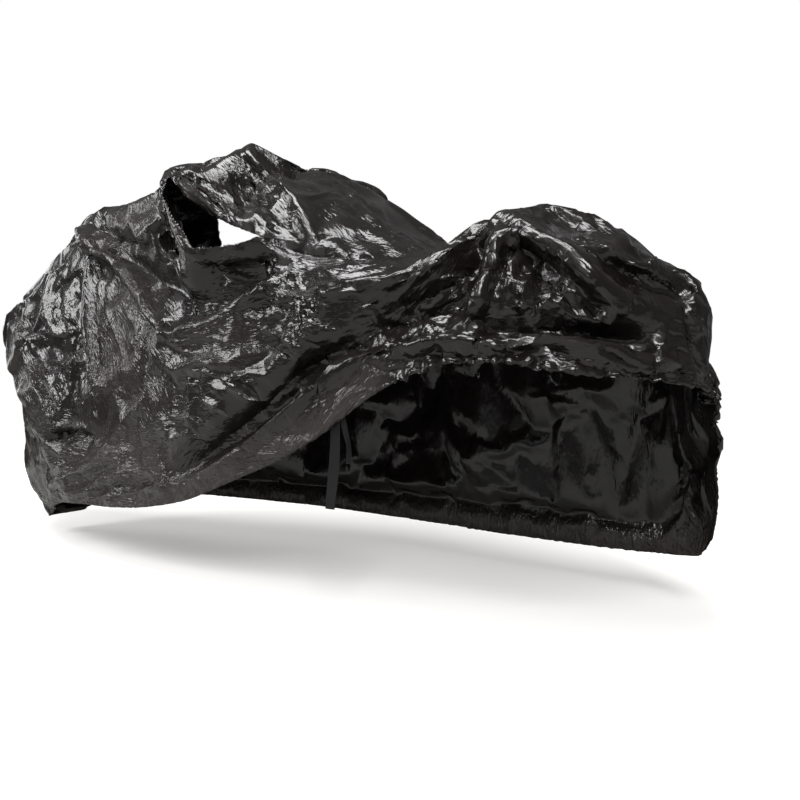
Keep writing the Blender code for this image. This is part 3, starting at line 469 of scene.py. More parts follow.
# Where the film is crushed into hard facets that catch the light, in the same columns.
GLINTING = (
    (-0.05, 0.80, 0.11, 0.06, 0.8), (0.12, 0.63, 0.12, 0.09, 0.8), (0.10, 0.47, 0.08, 0.08, 0.7),
    (-0.13, 0.70, 0.08, 0.05, 0.6), (0.80, 1.00, 0.10, 0.06, 0.6), (0.87, 0.94, 0.07, 0.05, 0.6),
    (0.89, 1.10, 0.05, 0.05, 0.6), (0.97, 1.03, 0.05, 0.05, 0.8), (1.06, 0.92, 0.06, 0.06, 0.9),
    (1.17, 0.66, 0.08, 0.05, 0.9), (1.07, 0.69, 0.06, 0.04, 0.9), (1.11, 0.62, 0.08, 0.04, 0.7),
    (1.36, 0.53, 0.06, 0.04, 0.9), (1.25, 0.47, 0.06, 0.03, 1.0), (1.60, 0.72, 0.03, 0.08, 0.8),
    (1.66, 0.68, 0.05, 0.05, 1.1), (1.72, 0.65, 0.06, 0.04, 1.0), (1.79, 0.68, 0.06, 0.05, 0.9),
    (1.81, 0.62, 0.05, 0.04, 1.1), (1.91, 0.62, 0.05, 0.05, 0.8), (1.50, 0.63, 0.06, 0.04, 0.9),
    (1.75, 0.52, 0.18, 0.04, 0.8), (1.24, 0.85, 0.06, 0.05, 0.7), (1.11, 0.97, 0.06, 0.05, 0.5),
    (1.00, 1.12, 0.06, 0.04, 0.3), (0.40, 0.26, 0.25, 0.07, 0.6), (0.67, 0.30, 0.15, 0.05, 0.7),
    (0.89, 0.35, 0.10, 0.05, 0.7), (0.85, 0.47, 0.12, 0.08, 0.4), (0.86, 0.76, 0.07, 0.03, 0.7),
    (0.88, 0.83, 0.07, 0.05, 0.9), (1.62, 0.86, 0.12, 0.05, 0.5),
)

# Which way the film is drawn, and so which way its small creases run. Columns: flank, a place on it in
# (x, z), the direction there in degrees from level, how far it reaches.
DRAWN = (
    ("near", -0.35, 0.65, -75, 0.10), ("near", -0.20, 0.40, -62, 0.14), ("near", -0.02, 0.72, -25, 0.14),
    ("near", 0.10, 1.05, -30, 0.12), ("near", 0.36, 1.01, -80, 0.09), ("near", 0.35, 0.90, -33, 0.12),
    ("near", 0.30, 0.68, -68, 0.16), ("near", 0.38, 0.50, -85, 0.14), ("near", 0.58, 0.55, -52, 0.14),
    ("near", 0.15, 0.22, 12, 0.16), ("near", 0.50, 0.28, 14, 0.16), ("near", 0.85, 0.60, -20, 0.16),
    ("near", 0.95, 0.48, -18, 0.12), ("near", 0.88, 0.73, 9, 0.14), ("near", 1.10, 0.74, 5, 0.12),
    ("near", 0.80, 1.03, -36, 0.12), ("near", 0.92, 1.08, -51, 0.12), ("near", 1.15, 0.98, -51, 0.14),
    ("near", 1.22, 0.80, -8, 0.10), ("near", 1.32, 0.73, 6, 0.10), ("near", 1.10, 0.61, -25, 0.10),
    ("near", 1.46, 0.70, 33, 0.12), ("near", 1.53, 0.76, 62, 0.08), ("near", 1.59, 0.70, -88, 0.08),
    ("near", 1.70, 0.71, -46, 0.09), ("near", 1.82, 0.72, -30, 0.10), ("near", 1.92, 0.63, -78, 0.08),
    ("near", 1.60, 0.57, 0, 0.08), ("near", 1.84, 0.54, -14, 0.10), ("near", 1.20, 0.52, 36, 0.10),
    ("near", 0.80, 0.30, 30, 0.12), ("far", -0.20, 0.55, -55, 0.25), ("far", 0.30, 0.75, -60, 0.25),
    ("far", 0.60, 0.40, -80, 0.25), ("far", 0.95, 0.80, 88, 0.25), ("far", 1.30, 0.55, -70, 0.25),
    ("far", 1.60, 0.50, 85, 0.25), ("far", 1.90, 0.40, 85, 0.20),
)

# Small creases along those directions. Each is a long low roof, narrower and lower to its ends. Columns:
# how many, shortest and longest, half width, height, how far its direction strays in degrees, random seed.
LONG_CREASES = (150, 0.20, 0.45, 0.030, 0.007, 14, 31)
SHORT_CREASES = (
    (900, 0.08, 0.26, 0.016, 0.0036, 20, 32),
    (2200, 0.03, 0.10, 0.008, 0.0015, 40, 33),
)
CREASE_LEGS = 6                                # straight legs in each half of a small crease
RISING_SHARE, TROUGH_DEPTH = 0.7, 0.8          # so many stand up; the others are troughs, a little flatter
HEIGHT_RANGE, WIDTH_RANGE = (0.5, 1.2), (0.6, 1.5)

# Crumple of the film, coarse to fine. Columns: pitch of its facets, how steep they stand, how much longer
# than wide they are, random seed. Anything finer is bump in the material.
FACETS = ((0.075, 0.05, 1.6, 11), (0.034, 0.10, 1.4, 12))


def control_net():
    """Seven points for each section: hem, belly, shoulder, crown, shoulder, belly, hem."""
    net = []
    for _, near_hem, near_shoulder, crown, far_shoulder, far_hem, near_belly, far_belly in SECTIONS:
        near_hem, near_shoulder, crown, far_shoulder, far_hem = map(
            np.array, (near_hem, near_shoulder, crown, far_shoulder, far_hem))
        near_flank = (near_hem + near_shoulder) / 2 - (0, near_belly, 0)
        far_flank = (far_hem + far_shoulder) / 2 + (0, far_belly, 0)
        net.append((near_hem, near_flank, near_shoulder, crown, far_shoulder, far_flank, far_hem))
    return np.array(net)


def smooth_rows(rows, places):
    """Catmull-Rom curve through the rows, read at places counted in rows: a cubic between each two rows."""
    ends = (2 * rows[:1] - rows[1:2], 2 * rows[-1:] - rows[-2:-1])
    padded = np.concatenate((ends[0], rows, ends[1]))
    start = np.clip(np.floor(places).astype(int), 0, len(rows) - 2)
    f = (places - start).reshape((-1,) + (1,) * (rows.ndim - 1))
    a, b, c, d = (padded[start + k] for k in range(4))
    return 0.5 * (2 * b + (c - a) * f + (2 * a - 5 * b + 4 * c - d) * f**2 + (3 * b - a - 3 * c + d) * f**3)


def smooth_sheet(grid, along, across):
    """A grid of points as a smooth sheet, read at places counted in its rows and in its columns."""
    return smooth_rows(smooth_rows(grid, along).transpose(1, 0, 2), across).transpose(1, 0, 2)


def even_places(net, count, axis, weights=1.0):
    """Places along one way of the net, evenly spaced by length times weight: more weight, more places."""
    steps = np.linalg.norm(np.diff(net, axis=axis), axis=2).mean(axis=1 - axis) * weights
    run = np.concatenate(([0.0], np.cumsum(steps)))
    return np.interp(np.linspace(0, run[-1], count), run, np.arange(len(run)))


def outward(points):
    """Unit normals of a grid of points: the cross product of its two ways."""
    normal = np.cross(np.gradient(points, axis=0), np.gradient(points, axis=1))
    return normal / np.linalg.norm(normal, axis=2, keepdims=True)


def grid_faces(rows, columns):
    """Four-sided faces between neighbouring places of a grid, as indices that count along its rows."""
    corner = np.arange(rows * columns).reshape(rows, columns)
    faces = np.stack((corner[:-1, :-1], corner[1:, :-1], corner[1:, 1:], corner[:-1, 1:]), axis=-1)
    return faces.reshape(-1, 4)


def near_share(across):
    """1 on the near flank and the crown, 0 from the far shoulder on, falling evenly between them."""
    return np.clip((FAR_SHOULDER - across) / CROWN_FADE, 0, 1)


def near_course(x, z, course, reach):
    """Distance to a broken line in (x, z) and the share of its length at the nearest point, both for the
    points within reach of the line's box only: returns their indices too."""
    course = np.array(course)
    (low_x, low_z), (high_x, high_z) = course.min(axis=0) - reach, course.max(axis=0) + reach
    inside = np.nonzero((x > low_x) & (x < high_x) & (z > low_z) & (z < high_z))
    x, z = x[inside], z[inside]
    legs = np.diff(course, axis=0)
    lengths = np.linalg.norm(legs, axis=1)
    starts = np.concatenate(([0.0], np.cumsum(lengths)))
    nearest, share = np.full(x.shape, np.inf), np.zeros(x.shape)
    for corner, leg, length, start in zip(course, legs, lengths, starts):
        t = np.clip(((x - corner[0]) * leg[0] + (z - corner[1]) * leg[1]) / length**2, 0, 1)
        distance = np.hypot(x - corner[0] - t * leg[0], z - corner[1] - t * leg[1])
        closer = distance < nearest
        nearest = np.where(closer, distance, nearest)
        share = np.where(closer, (start + t * length) / starts[-1], share)
    return inside, nearest, share


def fold_heights(points, across, folds, sharpness):
    """Sum of the folds' heights. Each is height * exp(-(distance / half width) ** sharpness), and fades to
    a quarter of that at the two ends of its course."""
    x, z = points[..., 0], points[..., 2]
    near = near_share(across)
    near = near * near * (3 - 2 * near)
    flank = {"near": np.broadcast_to(near, x.shape), "far": np.broadcast_to(1 - near, x.shape)}
    total = np.zeros(x.shape)
    for _, side, height, half_width, course in folds:
        inside, nearest, share = near_course(x, z, course, 5 * half_width)
        end_fade = 0.25 + 0.75 * np.sqrt(np.clip(6.4 * share * (1 - share), 0, 1))
        profile = height * np.exp(-((nearest / half_width) ** sharpness))
        total[inside] += profile * end_fade * flank[side][inside]
    return total


def nearest_seed(place, seed, precision=np.float32):
    """Distance to the nearest random seed, one seed in each unit cube of space."""
    low = np.floor(place.reshape(-1, 3).min(axis=0)) - 2
    cells = (np.ceil(place.reshape(-1, 3).max(axis=0)) + 2 - low).astype(int)
    seeds = np.stack(np.meshgrid(*map(np.arange, cells), indexing="ij"), axis=-1)
    seeds = (seeds + np.random.default_rng(seed).random(seeds.shape)).astype(precision)
    place = (place - low).astype(precision)
    home = np.floor(place).astype(int)
    nearest = np.full(place.shape[:2], np.inf, precision)
    for step in np.ndindex(3, 3, 3):
        cube = home + np.array(step) - 1
        to_seed = place - seeds[cube[..., 0], cube[..., 1], cube[..., 2]]
        nearest = np.minimum(nearest, np.einsum("...k,...k", to_seed, to_seed))
    return np.sqrt(nearest)


def crumple_heights(points, pitch, height, seed):
    """Dimples about random seeds, as in the solid: sharp ridges stand where two dimples meet. The mean
    distance to a seed is taken off, so that the sheet keeps its place."""
    place = (points - points.reshape(-1, 3).min(axis=0)) / pitch + 2
    return height * (nearest_seed(place, seed, np.float64) - MEAN_TO_SEED)


def wander(points, pitch, size, seed):
    """A slow drift of each point: in each coordinate a sum of five sine waves of about that pitch, which
    run in random directions."""
    dice = np.random.default_rng(seed)
    drift = np.zeros(points.shape)
    for _ in range(5):
        wave = dice.normal(size=3) * 2.2 / pitch
        drift += np.sin(points @ wave + dice.uniform(0, 6.28))[..., None] * dice.normal(size=3)
    return points + drift * size / 2.2


def facet_heights(points, pitch, steepness, longer, seed):
    """Flat facets between sharp creases: the squared distance to the nearest of one set of random seeds
    less that to another set, which is linear within each facet and has no step at its edges."""
    turned = np.linalg.qr(np.random.default_rng(seed).normal(size=(3, 3)))[0]
    place = (wander(points, 4 * pitch, 0.5 * pitch, seed) @ turned) / (pitch * np.array((longer, 1, 1)))
    first, second = nearest_seed(place, seed), nearest_seed(place + 0.37, seed + 100)
    return 0.75 * pitch * steepness * (first**2 - second**2)


def drawn_way(places, near):
    """Angles along which the film is drawn at some places: the mean of the table's directions, with angles
    doubled because a crease has no front end. The weights are exp(-(distance / reach) ** 2) and a little
    more, so that each row counts far off too."""
    total = np.zeros((len(places), 2))
    for side, x, z, degrees, reach in DRAWN:
        spread = ((places[:, 0] - x) ** 2 + (places[:, 2] - z) ** 2) / reach**2
        weight = (np.exp(-spread) + 0.002 / (1 + spread)) * (near if side == "near" else ~near)
        doubled = 2 * math.radians(degrees)
        total += weight[:, None] * (math.cos(doubled), math.sin(doubled))
    return 0.5 * np.arctan2(total[:, 1], total[:, 0])


def read_grid(grid, rows, columns):
    """A grid's values at places between its points: the mean of the four around, by nearness."""
    rows, columns = np.clip(rows, 0, grid.shape[0] - 1.001), np.clip(columns, 0, grid.shape[1] - 1.001)
    i, j = rows.astype(int), columns.astype(int)
    f, g = (rows - i)[..., None], (columns - j)[..., None]
    return ((1 - f) * ((1 - g) * grid[i, j] + g * grid[i, j + 1])
            + f * ((1 - g) * grid[i + 1, j] + g * grid[i + 1, j + 1]))


def walk_creases(points, ways, start, near, leg_length, bend, curve):
    """Courses of small creases, in places of the grid. Each is walked both ways from its start, in legs of
    equal real length along the way the film is drawn there. A leg's direction in (x, z) becomes steps of
    rows and columns by least squares on the grid's own two ways."""
    courses = [start]
    for way in (1, -1):
        place = start
        for leg in range(1, CREASE_LEGS + 1):
            here, u, v = (read_grid(grid, *place.T) for grid in (points, *ways))
            angle = drawn_way(here, near) + bend + way * leg * curve
            step = np.stack((np.cos(angle), 0 * angle, np.sin(angle)), axis=1) * way
            uu, uv, vv = (np.einsum("nk,nk->n", a, b) for a, b in ((u, u), (u, v), (v, v)))
            us, vs = np.einsum("nk,nk->n", u, step), np.einsum("nk,nk->n", v, step)
            move = np.stack((vv * us - uv * vs, uu * vs - uv * us), axis=1) / (uu * vv - uv * uv)[:, None]
            real = np.linalg.norm(u * move[:, :1] + v * move[:, 1:], axis=1)
            move *= (leg_length / np.maximum(real, 0.2))[:, None]
            place = place + move
            courses = courses + [place] if way == 1 else [place] + courses
    return np.array(courses).transpose(1, 0, 2)


def add_roof(total, points, course, spacing, height, reach):
    """Adds one small crease to the heights: height * (1 - distance / reach), where both are tapered to the
    course's ends by the square root of 4 * share * (1 - share)."""
    margin = reach / spacing + 2
    low = np.maximum(np.floor(course.min(axis=0) - margin), 0).astype(int)
    high = np.minimum(np.ceil(course.max(axis=0) + margin), total.shape).astype(int)
    if (high - low < 2).any():
        return
    line = read_grid(points, *course.T)
    legs = np.diff(line, axis=0)
    block = points[low[0]:high[0], low[1]:high[1]][..., None, :] - line[:-1]
    share = np.clip((block * legs).sum(axis=3) / np.maximum((legs**2).sum(axis=1), 1e-12), 0, 1)
    away = ((block - share[..., None] * legs) ** 2).sum(axis=3)
    best = away.argmin(axis=2)
    done = (best + np.take_along_axis(share, best[..., None], 2)[..., 0]) / len(legs)
    away = np.sqrt(np.take_along_axis(away, best[..., None], 2)[..., 0])
    taper = np.sqrt(np.clip(4 * done * (1 - done), 0, 1))
    roof = np.clip(1 - away / (reach * (0.3 + 0.7 * taper)), 0, None)
    total[low[0]:high[0], low[1]:high[1]] += height * taper * roof


def small_creases(points, across, count, shortest, longest, half_width, height, stray, seed):
    """Heights of many small creases, which start at random points of the sheet and follow the way the film
    is drawn. Most are short: the length grows with the square of a random number."""
    dice = np.random.default_rng(seed)
    rows, columns = points.shape[:2]
    ways = np.gradient(points, axis=0), np.gradient(points, axis=1)
    spacing = sum(float(np.linalg.norm(way, axis=2).mean()) for way in ways) / 2
    start = dice.uniform((0, 0), (rows - 1, columns - 1), (count, 2))
    length = shortest + (longest - shortest) * dice.random(count) ** 2
    bend = np.radians(dice.normal(0, stray, count))
    curve = np.radians(dice.normal(0, stray, count)) / CREASE_LEGS
    near = np.interp(start[:, 1], np.arange(columns), across) < NEAR_UP_TO
    courses = walk_creases(points, ways, start, near, length / (2 * CREASE_LEGS), bend, curve)
    signs = np.where(dice.random(count) < RISING_SHARE, 1.0, -TROUGH_DEPTH)
    signs = signs * dice.uniform(*HEIGHT_RANGE, count)
    widths = half_width * dice.uniform(*WIDTH_RANGE, count)
    total = np.zeros((rows, columns))
    for course, sign, reach in zip(courses, signs, widths):
        add_roof(total, points, course, spacing, height * sign, reach)
    return total


def patches(x, z, table):
    """The strongest of some soft patches: strength times exp(-(distance / reach) ** 2)."""
    most = np.zeros(x.shape)
    for middle_x, middle_z, reach_x, reach_z, strength in table:
        spread = ((x - middle_x) / reach_x) ** 2 + ((z - middle_z) / reach_z) ** 2
        most = np.maximum(most, strength * np.exp(-spread))
    return most


def crests(x, z, folds):
    """How near points lie to a raised fold's crest: exp(-(distance / half width) ** 2), the most of any."""
    most = np.zeros(x.shape)
    for _, side, height, half_width, course in folds:
        if side == "near" and height >= CREST_FROM:
            inside, nearest, _ = near_course(x, z, course, 3 * half_width)
            most[inside] = np.maximum(most[inside], np.exp(-((nearest / half_width) ** 2)))
    return most


# The sheet as it is cut and thrown over: sections joined smoothly, then folded and crumpled along its
# normals. It has more places on its near side.
net = control_net()
settle_along = even_places(net, SETTLE_ALONG, 0)
settle_across = even_places(net, SETTLE_ACROSS, 1, FINER_NEAR)
points = smooth_sheet(net, settle_along, settle_across)
heights = fold_heights(points, settle_across, FOLDS, FOLD_SHARPNESS)
heights += crumple_heights(points, CRUMPLE_PITCH, CRUMPLE_HEIGHT, seed=3)
tight = patches(points[..., 0], points[..., 2], PULLED) * near_share(settle_across)
heights += small_creases(points, settle_across, *LONG_CREASES) * (1 - TIGHT_FLATTENS * tight)
for place, rise, reach in TENTS:
    heights += rise * np.clip(1 - np.linalg.norm(points - place, axis=2) / reach, 0, 1)
points = points + outward(points) * heights[..., None]


def settle(points, tight, seed):
    """The sheet after a short cloth simulation: it is a little longer than the form it was laid on, and is
    held at scattered points only, so it hangs and buckles between them, less where it is tight."""
    rows, columns = points.shape[:2]
    trial = mesh_object("settling_film", points, grid_faces(rows, columns).tolist(), paper)
    dice = np.random.default_rng(seed)
    held = LOOSE_HOLD + TIGHT_HOLD * np.round(tight, 1)
    supports = (np.arange(SUPPORT_MARGIN, size - SUPPORT_MARGIN, SUPPORT_EVERY) for size in (rows, columns))
    row, column = np.meshgrid(*supports, indexing="ij")
    row = row + dice.integers(-SUPPORT_STRAY, SUPPORT_STRAY + 1, row.shape)
    column = column + dice.integers(-SUPPORT_STRAY, SUPPORT_STRAY + 1, column.shape)
    row, column = np.clip(row, 0, rows - 1), np.clip(column, 0, columns - 1)
    held[row, column] = FIRM_HOLD
    held[[0, -1]] = held[:, [0, -1]] = FIRM_HOLD
    group = trial.vertex_groups.new(name="held")
    for weight in np.unique(held):
        group.add(np.nonzero(held.ravel() == weight)[0].tolist(), float(weight), "REPLACE")
    cloth = trial.modifiers.new("cloth", "CLOTH")
    for name, value in CLOTH_SETTINGS.items():
        setattr(cloth.settings, name, value)
    cloth.settings.vertex_group_mass = "held"
    cloth.settings.effector_weights.gravity = SETTLE_GRAVITY
    cloth.collision_settings.use_collision = False
    cloth.point_cache.frame_start, cloth.point_cache.frame_end = 1, SETTLE_FRAMES + 1
    for number in range(1, SETTLE_FRAMES + 1):
        bpy.context.scene.frame_set(number)
    result = trial.evaluated_get(bpy.context.evaluated_depsgraph_get()).to_mesh()
    settled = np.empty(points.size, np.float32)
    result.vertices.foreach_get("co", settled)
    bpy.data.objects.remove(trial)
    bpy.context.scene.frame_set(1)
    moved = settled.reshape(points.shape) - points
    distance = np.linalg.norm(moved, axis=2, keepdims=True)
    return points + moved * np.minimum(1.0, SETTLE_MOST / np.maximum(distance, 1e-9))


points = settle(points, tight, seed=5)

# The fine sheet: the settled one read at many more places.
fine_along = np.linspace(0, SETTLE_ALONG - 1, GRID_ALONG)
fine_across = np.linspace(0, SETTLE_ACROSS - 1, GRID_ACROSS)
across = np.interp(fine_across, np.arange(SETTLE_ACROSS), settle_across)
points = smooth_sheet(points, fine_along, fine_across)


def slow_noise(points, pitch, seed):
    """Smooth noise between about -1 and 1: nine sine waves of about that pitch in random directions."""
    dice = np.random.default_rng(seed)
    waves = [np.sin(points @ (dice.normal(size=3) * 2.6 / pitch) + dice.uniform(0, 6.28)) for _ in range(9)]
    return np.clip(sum(waves) / 3, -1, 1)


# Where it is matt, and how strongly it is crumpled: smooth and crumpled patches come and go by
# themselves, the tables add to them, and the matt band and the creases' crests are smoother.
from_near = np.linalg.norm(np.diff(points, axis=1), axis=2)
from_near = np.concatenate((np.zeros((GRID_ALONG, 1)), np.cumsum(from_near, axis=1)), axis=1)
from_tail = np.linalg.norm(np.diff(points, axis=0), axis=2)
from_tail = np.concatenate((np.zeros((1, GRID_ACROSS)), np.cumsum(from_tail, axis=0)))
to_hem = np.minimum.reduce((from_near, from_near[:, -1:] - from_near, from_tail, from_tail[-1:] - from_tail))
x, z = points[..., 0], points[..., 2]
on_near = near_share(across)
to_front = np.clip((x - HEM_TURNS_GLOSSY[0]) / (HEM_TURNS_GLOSSY[1] - HEM_TURNS_GLOSSY[0]), 0, 1)
hem_band = np.clip(HEM_FADE - to_hem / HEM_BAND, 0, 1)
matt_band = hem_band * np.maximum(1 - to_front, 1 - on_near)
pulled = patches(x, z, PULLED) * on_near
glinting = patches(x, z, GLINTING) * on_near
crumpled = CRUMPLE_MEAN + CRUMPLE_SWING * slow_noise(points, PATCH_PITCH, seed=21) + glinting
crumpled = crumpled * (FAR_CRUMPLE + (1 - FAR_CRUMPLE) * on_near)
crumpled = np.clip(crumpled, *CRUMPLE_LIMITS) * (1 - pulled) * (1 - MATT_SMOOTHS * matt_band)
crumpled *= 1 - CREST_SMOOTH * crests(x, z, CREASES) * on_near
crushed_and_sheen = patches(x, z, CRUSHED_AND_SHEEN) * on_near
# Dull places also get a lighter grey film colour: partly the crushed film's own bloom, partly a painted
# sheen.
dull_and_sheen = np.maximum(matt_band, crushed_and_sheen)

# The gathers of the drawn-in hem: short ridges square to it, which die out GATHER_REACH above it. Their
# pitch strays, and they are strong only on the glossy roll at the front.
hem_run = from_tail[:, :1]
gathers = np.sin(hem_run * 2 * np.pi / GATHER_PITCH + GATHER_STRAY * np.sin(hem_run * GATHER_STRAY_WAVE))
gathers = gathers * GATHER_HEIGHT * np.exp(-to_hem / GATHER_REACH)
gathers = gathers * (GATHER_REAR + (1 - GATHER_REAR) * to_front * on_near)

# The listed creases, the small ones and the facets, along the sheet's normals.
heights = fold_heights(points, across, CREASES, CREASE_SHARPNESS) + gathers
crease_share = SMOOTH_KEEPS + (1 - SMOOTH_KEEPS) * np.maximum(crumpled, crushed_and_sheen)
for row in SHORT_CREASES:
    heights += small_creases(points, across, *row) * crease_share * (1 - MATT_FLATTENS * matt_band)
for pitch, steepness, longer, seed in FACETS:
    heights += facet_heights(points, pitch, steepness, longer, seed) * crumpled
grain_way = drawn_way(points.reshape(-1, 3), np.broadcast_to(on_near > 0.5, x.shape).ravel())
points = points + outward(points) * heights[..., None]


def inside_outline(x, z, outline):
    """Whether points lie in a polygon: an odd number of its sides lies above them."""
    crossings = np.zeros(x.shape, int)
    for (x0, z0), (x1, z1) in zip(outline, outline[1:] + outline[:1]):
        spans = (x0 > x) != (x1 > x)
        height = z0 + (x - x0) / (x1 - x0 if x1 != x0 else 1e-9) * (z1 - z0)
        crossings += spans & (z < height)
    return crossings % 2 == 1


# The sheet's faces, without those in the two slits.
quads = grid_faces(GRID_ALONG, GRID_ACROSS)
middles = points.reshape(-1, 3)[quads].mean(axis=1)
cut_near = inside_outline(middles[:, 0], middles[:, 2], SLITS["near"]) & (middles[:, 1] < -SLITS_FROM)
cut_far = inside_outline(middles[:, 0], middles[:, 2], SLITS["far"]) & (middles[:, 1] > SLITS_FROM)
quads = quads[~(cut_near | cut_far)]

# Black polyethylene film, blown thin: glossy and nearly black, and a lighter grey where it is finely
# crushed and along the matt hem: partly its own bloom, partly a painted sheen of the softboxes. The eye
# sees small hard glints on its facets, and satin streaks in the bloom.
FILM_BLACK, BLOOM_AND_SHEEN_GREY = hex_colour("#120F0E"), hex_colour("#2B2725")
GLOSS_ROUGHNESS, BLOOM_ROUGHNESS = (0.14, 0.26), 0.32
BLOTCHES_PER_METRE = 14.0                      # the gloss varies over about 70 mm
DRIFTS_PER_METRE, DRIFT_SIZE = 22.0, 0.012     # what bends facets and streaks: 12 mm, over 45 mm
FACET_PITCH, FACET_LENGTH, FACET_STEEP = 0.010, 2.4, 0.26    # facets 10 mm across, 2.4 times as long
STREAK_PITCH, STREAK_LENGTH = 0.012, 5.0       # streaks 12 mm apart, drawn out 5 times
STREAK_PLAIN, STREAK_DULL = 0.0022, 0.0150     # how high they stand, in plain and in matt film
film, tree, output = new_material("black_polyethylene_film")
place = add_node(tree, "ShaderNodeTexCoord").outputs["Object"]


def film_facets(tree, place, offset):
    """The same flat facets as in the mesh, finer: the difference of two squared distances to seeds, times
    0.75 * pitch * steepness."""
    squares = []
    for shift in (offset, offset + 7.3):
        moved = add_node(tree, "ShaderNodeVectorMath", {"operation": "ADD"}, {
            0: place, 1: (shift, 0.4 * shift, 0.0)}).outputs[0]
        cells = add_node(tree, "ShaderNodeTexVoronoi", {"feature": "F1"}, {
            "Vector": moved, "Scale": 1 / FACET_PITCH}).outputs["Distance"]
        squares.append(add_node(tree, "ShaderNodeMath", {"operation": "POWER"}, {
            0: cells, 1: 2.0}).outputs[0])
    difference = add_node(tree, "ShaderNodeMath", {"operation": "SUBTRACT"}, {
        0: squares[0], 1: squares[1]}).outputs[0]
    return add_node(tree, "ShaderNodeMath", {"operation": "MULTIPLY"}, {
        0: difference, 1: 0.75 * FACET_PITCH * FACET_STEEP}).outputs[0]


drift = add_node(tree, "ShaderNodeTexNoise", inputs={
    "Vector": place, "Scale": DRIFTS_PER_METRE, "Detail": 2.0})
drift = add_node(tree, "ShaderNodeVectorMath", {"operation": "MULTIPLY_ADD"}, {
    0: drift.outputs["Color"], 1: (DRIFT_SIZE, DRIFT_SIZE, DRIFT_SIZE), 2: place}).outputs[0]
dull_and_sheen_here = add_node(tree, "ShaderNodeAttribute", {"attribute_name": "dull_and_sheen"}).outputs["Fac"]
crumpled_here = add_node(tree, "ShaderNodeAttribute", {"attribute_name": "crumpled"}).outputs["Fac"]

# Facets and streaks run along the way the film is drawn: both are drawn out in four directions, which are
# mixed by how near each is to that way, with the weight (cos 2 (way - direction)) squared.
way = add_node(tree, "ShaderNodeAttribute", {"attribute_name": "drawn"}).outputs["Vector"]
facets, streaks = 0.0, 0.0
for degrees in (0, 45, 90, 135):
    turn = math.radians(degrees)
    agree = add_node(tree, "ShaderNodeVectorMath", {"operation": "DOT_PRODUCT"}, {
        0: way, 1: (math.cos(2 * turn), math.sin(2 * turn), 0.0)}).outputs["Value"]
    agree = add_node(tree, "ShaderNodeMath", {"operation": "MAXIMUM"}, {0: agree, 1: 0.0}).outputs[0]
    weight = add_node(tree, "ShaderNodeMath", {"operation": "POWER"}, {0: agree, 1: 2.0}).outputs[0]
    turned = add_node(tree, "ShaderNodeMapping", {"vector_type": "TEXTURE"}, {
        "Vector": drift, "Rotation": (0.0, -turn, 0.0), "Scale": (STREAK_LENGTH, 1.0, 1.0)}).outputs[0]
    noise = add_node(tree, "ShaderNodeTexNoise", inputs={
        "Vector": turned, "Scale": 1 / STREAK_PITCH, "Detail": 2.0, "Roughness": 0.5}).outputs[0]
    ridges = add_node(tree, "ShaderNodeMath", {"operation": "SUBTRACT"}, {0: noise, 1: 0.5}).outputs[0]
    ridges = add_node(tree, "ShaderNodeMath", {"operation": "ABSOLUTE"}, {0: ridges}).outputs[0]
    streaks = add_node(tree, "ShaderNodeMath", {"operation": "MULTIPLY_ADD"}, {
        0: ridges, 1: weight, 2: streaks}).outputs[0]
    turned = add_node(tree, "ShaderNodeMapping", {"vector_type": "TEXTURE"}, {
        "Vector": drift, "Rotation": (0.0, -turn, 0.0), "Scale": (FACET_LENGTH, 1.0, 1.0)}).outputs[0]
    facets = add_node(tree, "ShaderNodeMath", {"operation": "MULTIPLY_ADD"}, {
        0: film_facets(tree, turned, 1.0 + turn), 1: weight, 2: facets}).outputs[0]

streak_height = add_node(tree, "ShaderNodeMath", {"operation": "MULTIPLY_ADD"}, {
    0: dull_and_sheen_here, 1: STREAK_DULL - STREAK_PLAIN, 2: STREAK_PLAIN}).outputs[0]
facets = add_node(tree, "ShaderNodeMath", {"operation": "MULTIPLY"}, {
    0: facets, 1: crumpled_here}).outputs[0]
relief = add_node(tree, "ShaderNodeMath", {"operation": "MULTIPLY_ADD"}, {
    0: streaks, 1: streak_height, 2: facets}).outputs[0]
bump = add_node(tree, "ShaderNodeBump", inputs={"Strength": 1.0, "Distance": 1.0, "Height": relief})
blotches = add_node(tree, "ShaderNodeTexNoise", inputs={
    "Vector": place, "Scale": BLOTCHES_PER_METRE, "Detail": 4.0})
gloss = add_node(tree, "ShaderNodeMapRange", inputs={
    "Value": blotches.outputs[0], "From Min": 0.3, "From Max": 0.7,
    "To Min": GLOSS_ROUGHNESS[0], "To Max": GLOSS_ROUGHNESS[1]})
roughness = add_node(tree, "ShaderNodeMix", {"data_type": "FLOAT"}, {
    "Factor": dull_and_sheen_here, "A": gloss.outputs[0], "B": BLOOM_ROUGHNESS})
# Where dull, the film is a lighter grey: partly its own bloom, partly a painted sheen of the softboxes.
colour = add_node(tree, "ShaderNodeMix", {"data_type": "RGBA"}, {
    "Factor": dull_and_sheen_here, "A": (*FILM_BLACK, 1.0), "B": (*BLOOM_AND_SHEEN_GREY, 1.0)})
shader = add_node(tree, "ShaderNodeBsdfPrincipled", inputs={
    "Base Color": colour.outputs["Result"], "Roughness": roughness.outputs[0], "IOR": 1.51,
    "Specular IOR Level": 0.36, "Normal": bump.outputs[0]})
tree.links.new(shader.outputs["BSDF"], output.inputs["Surface"])

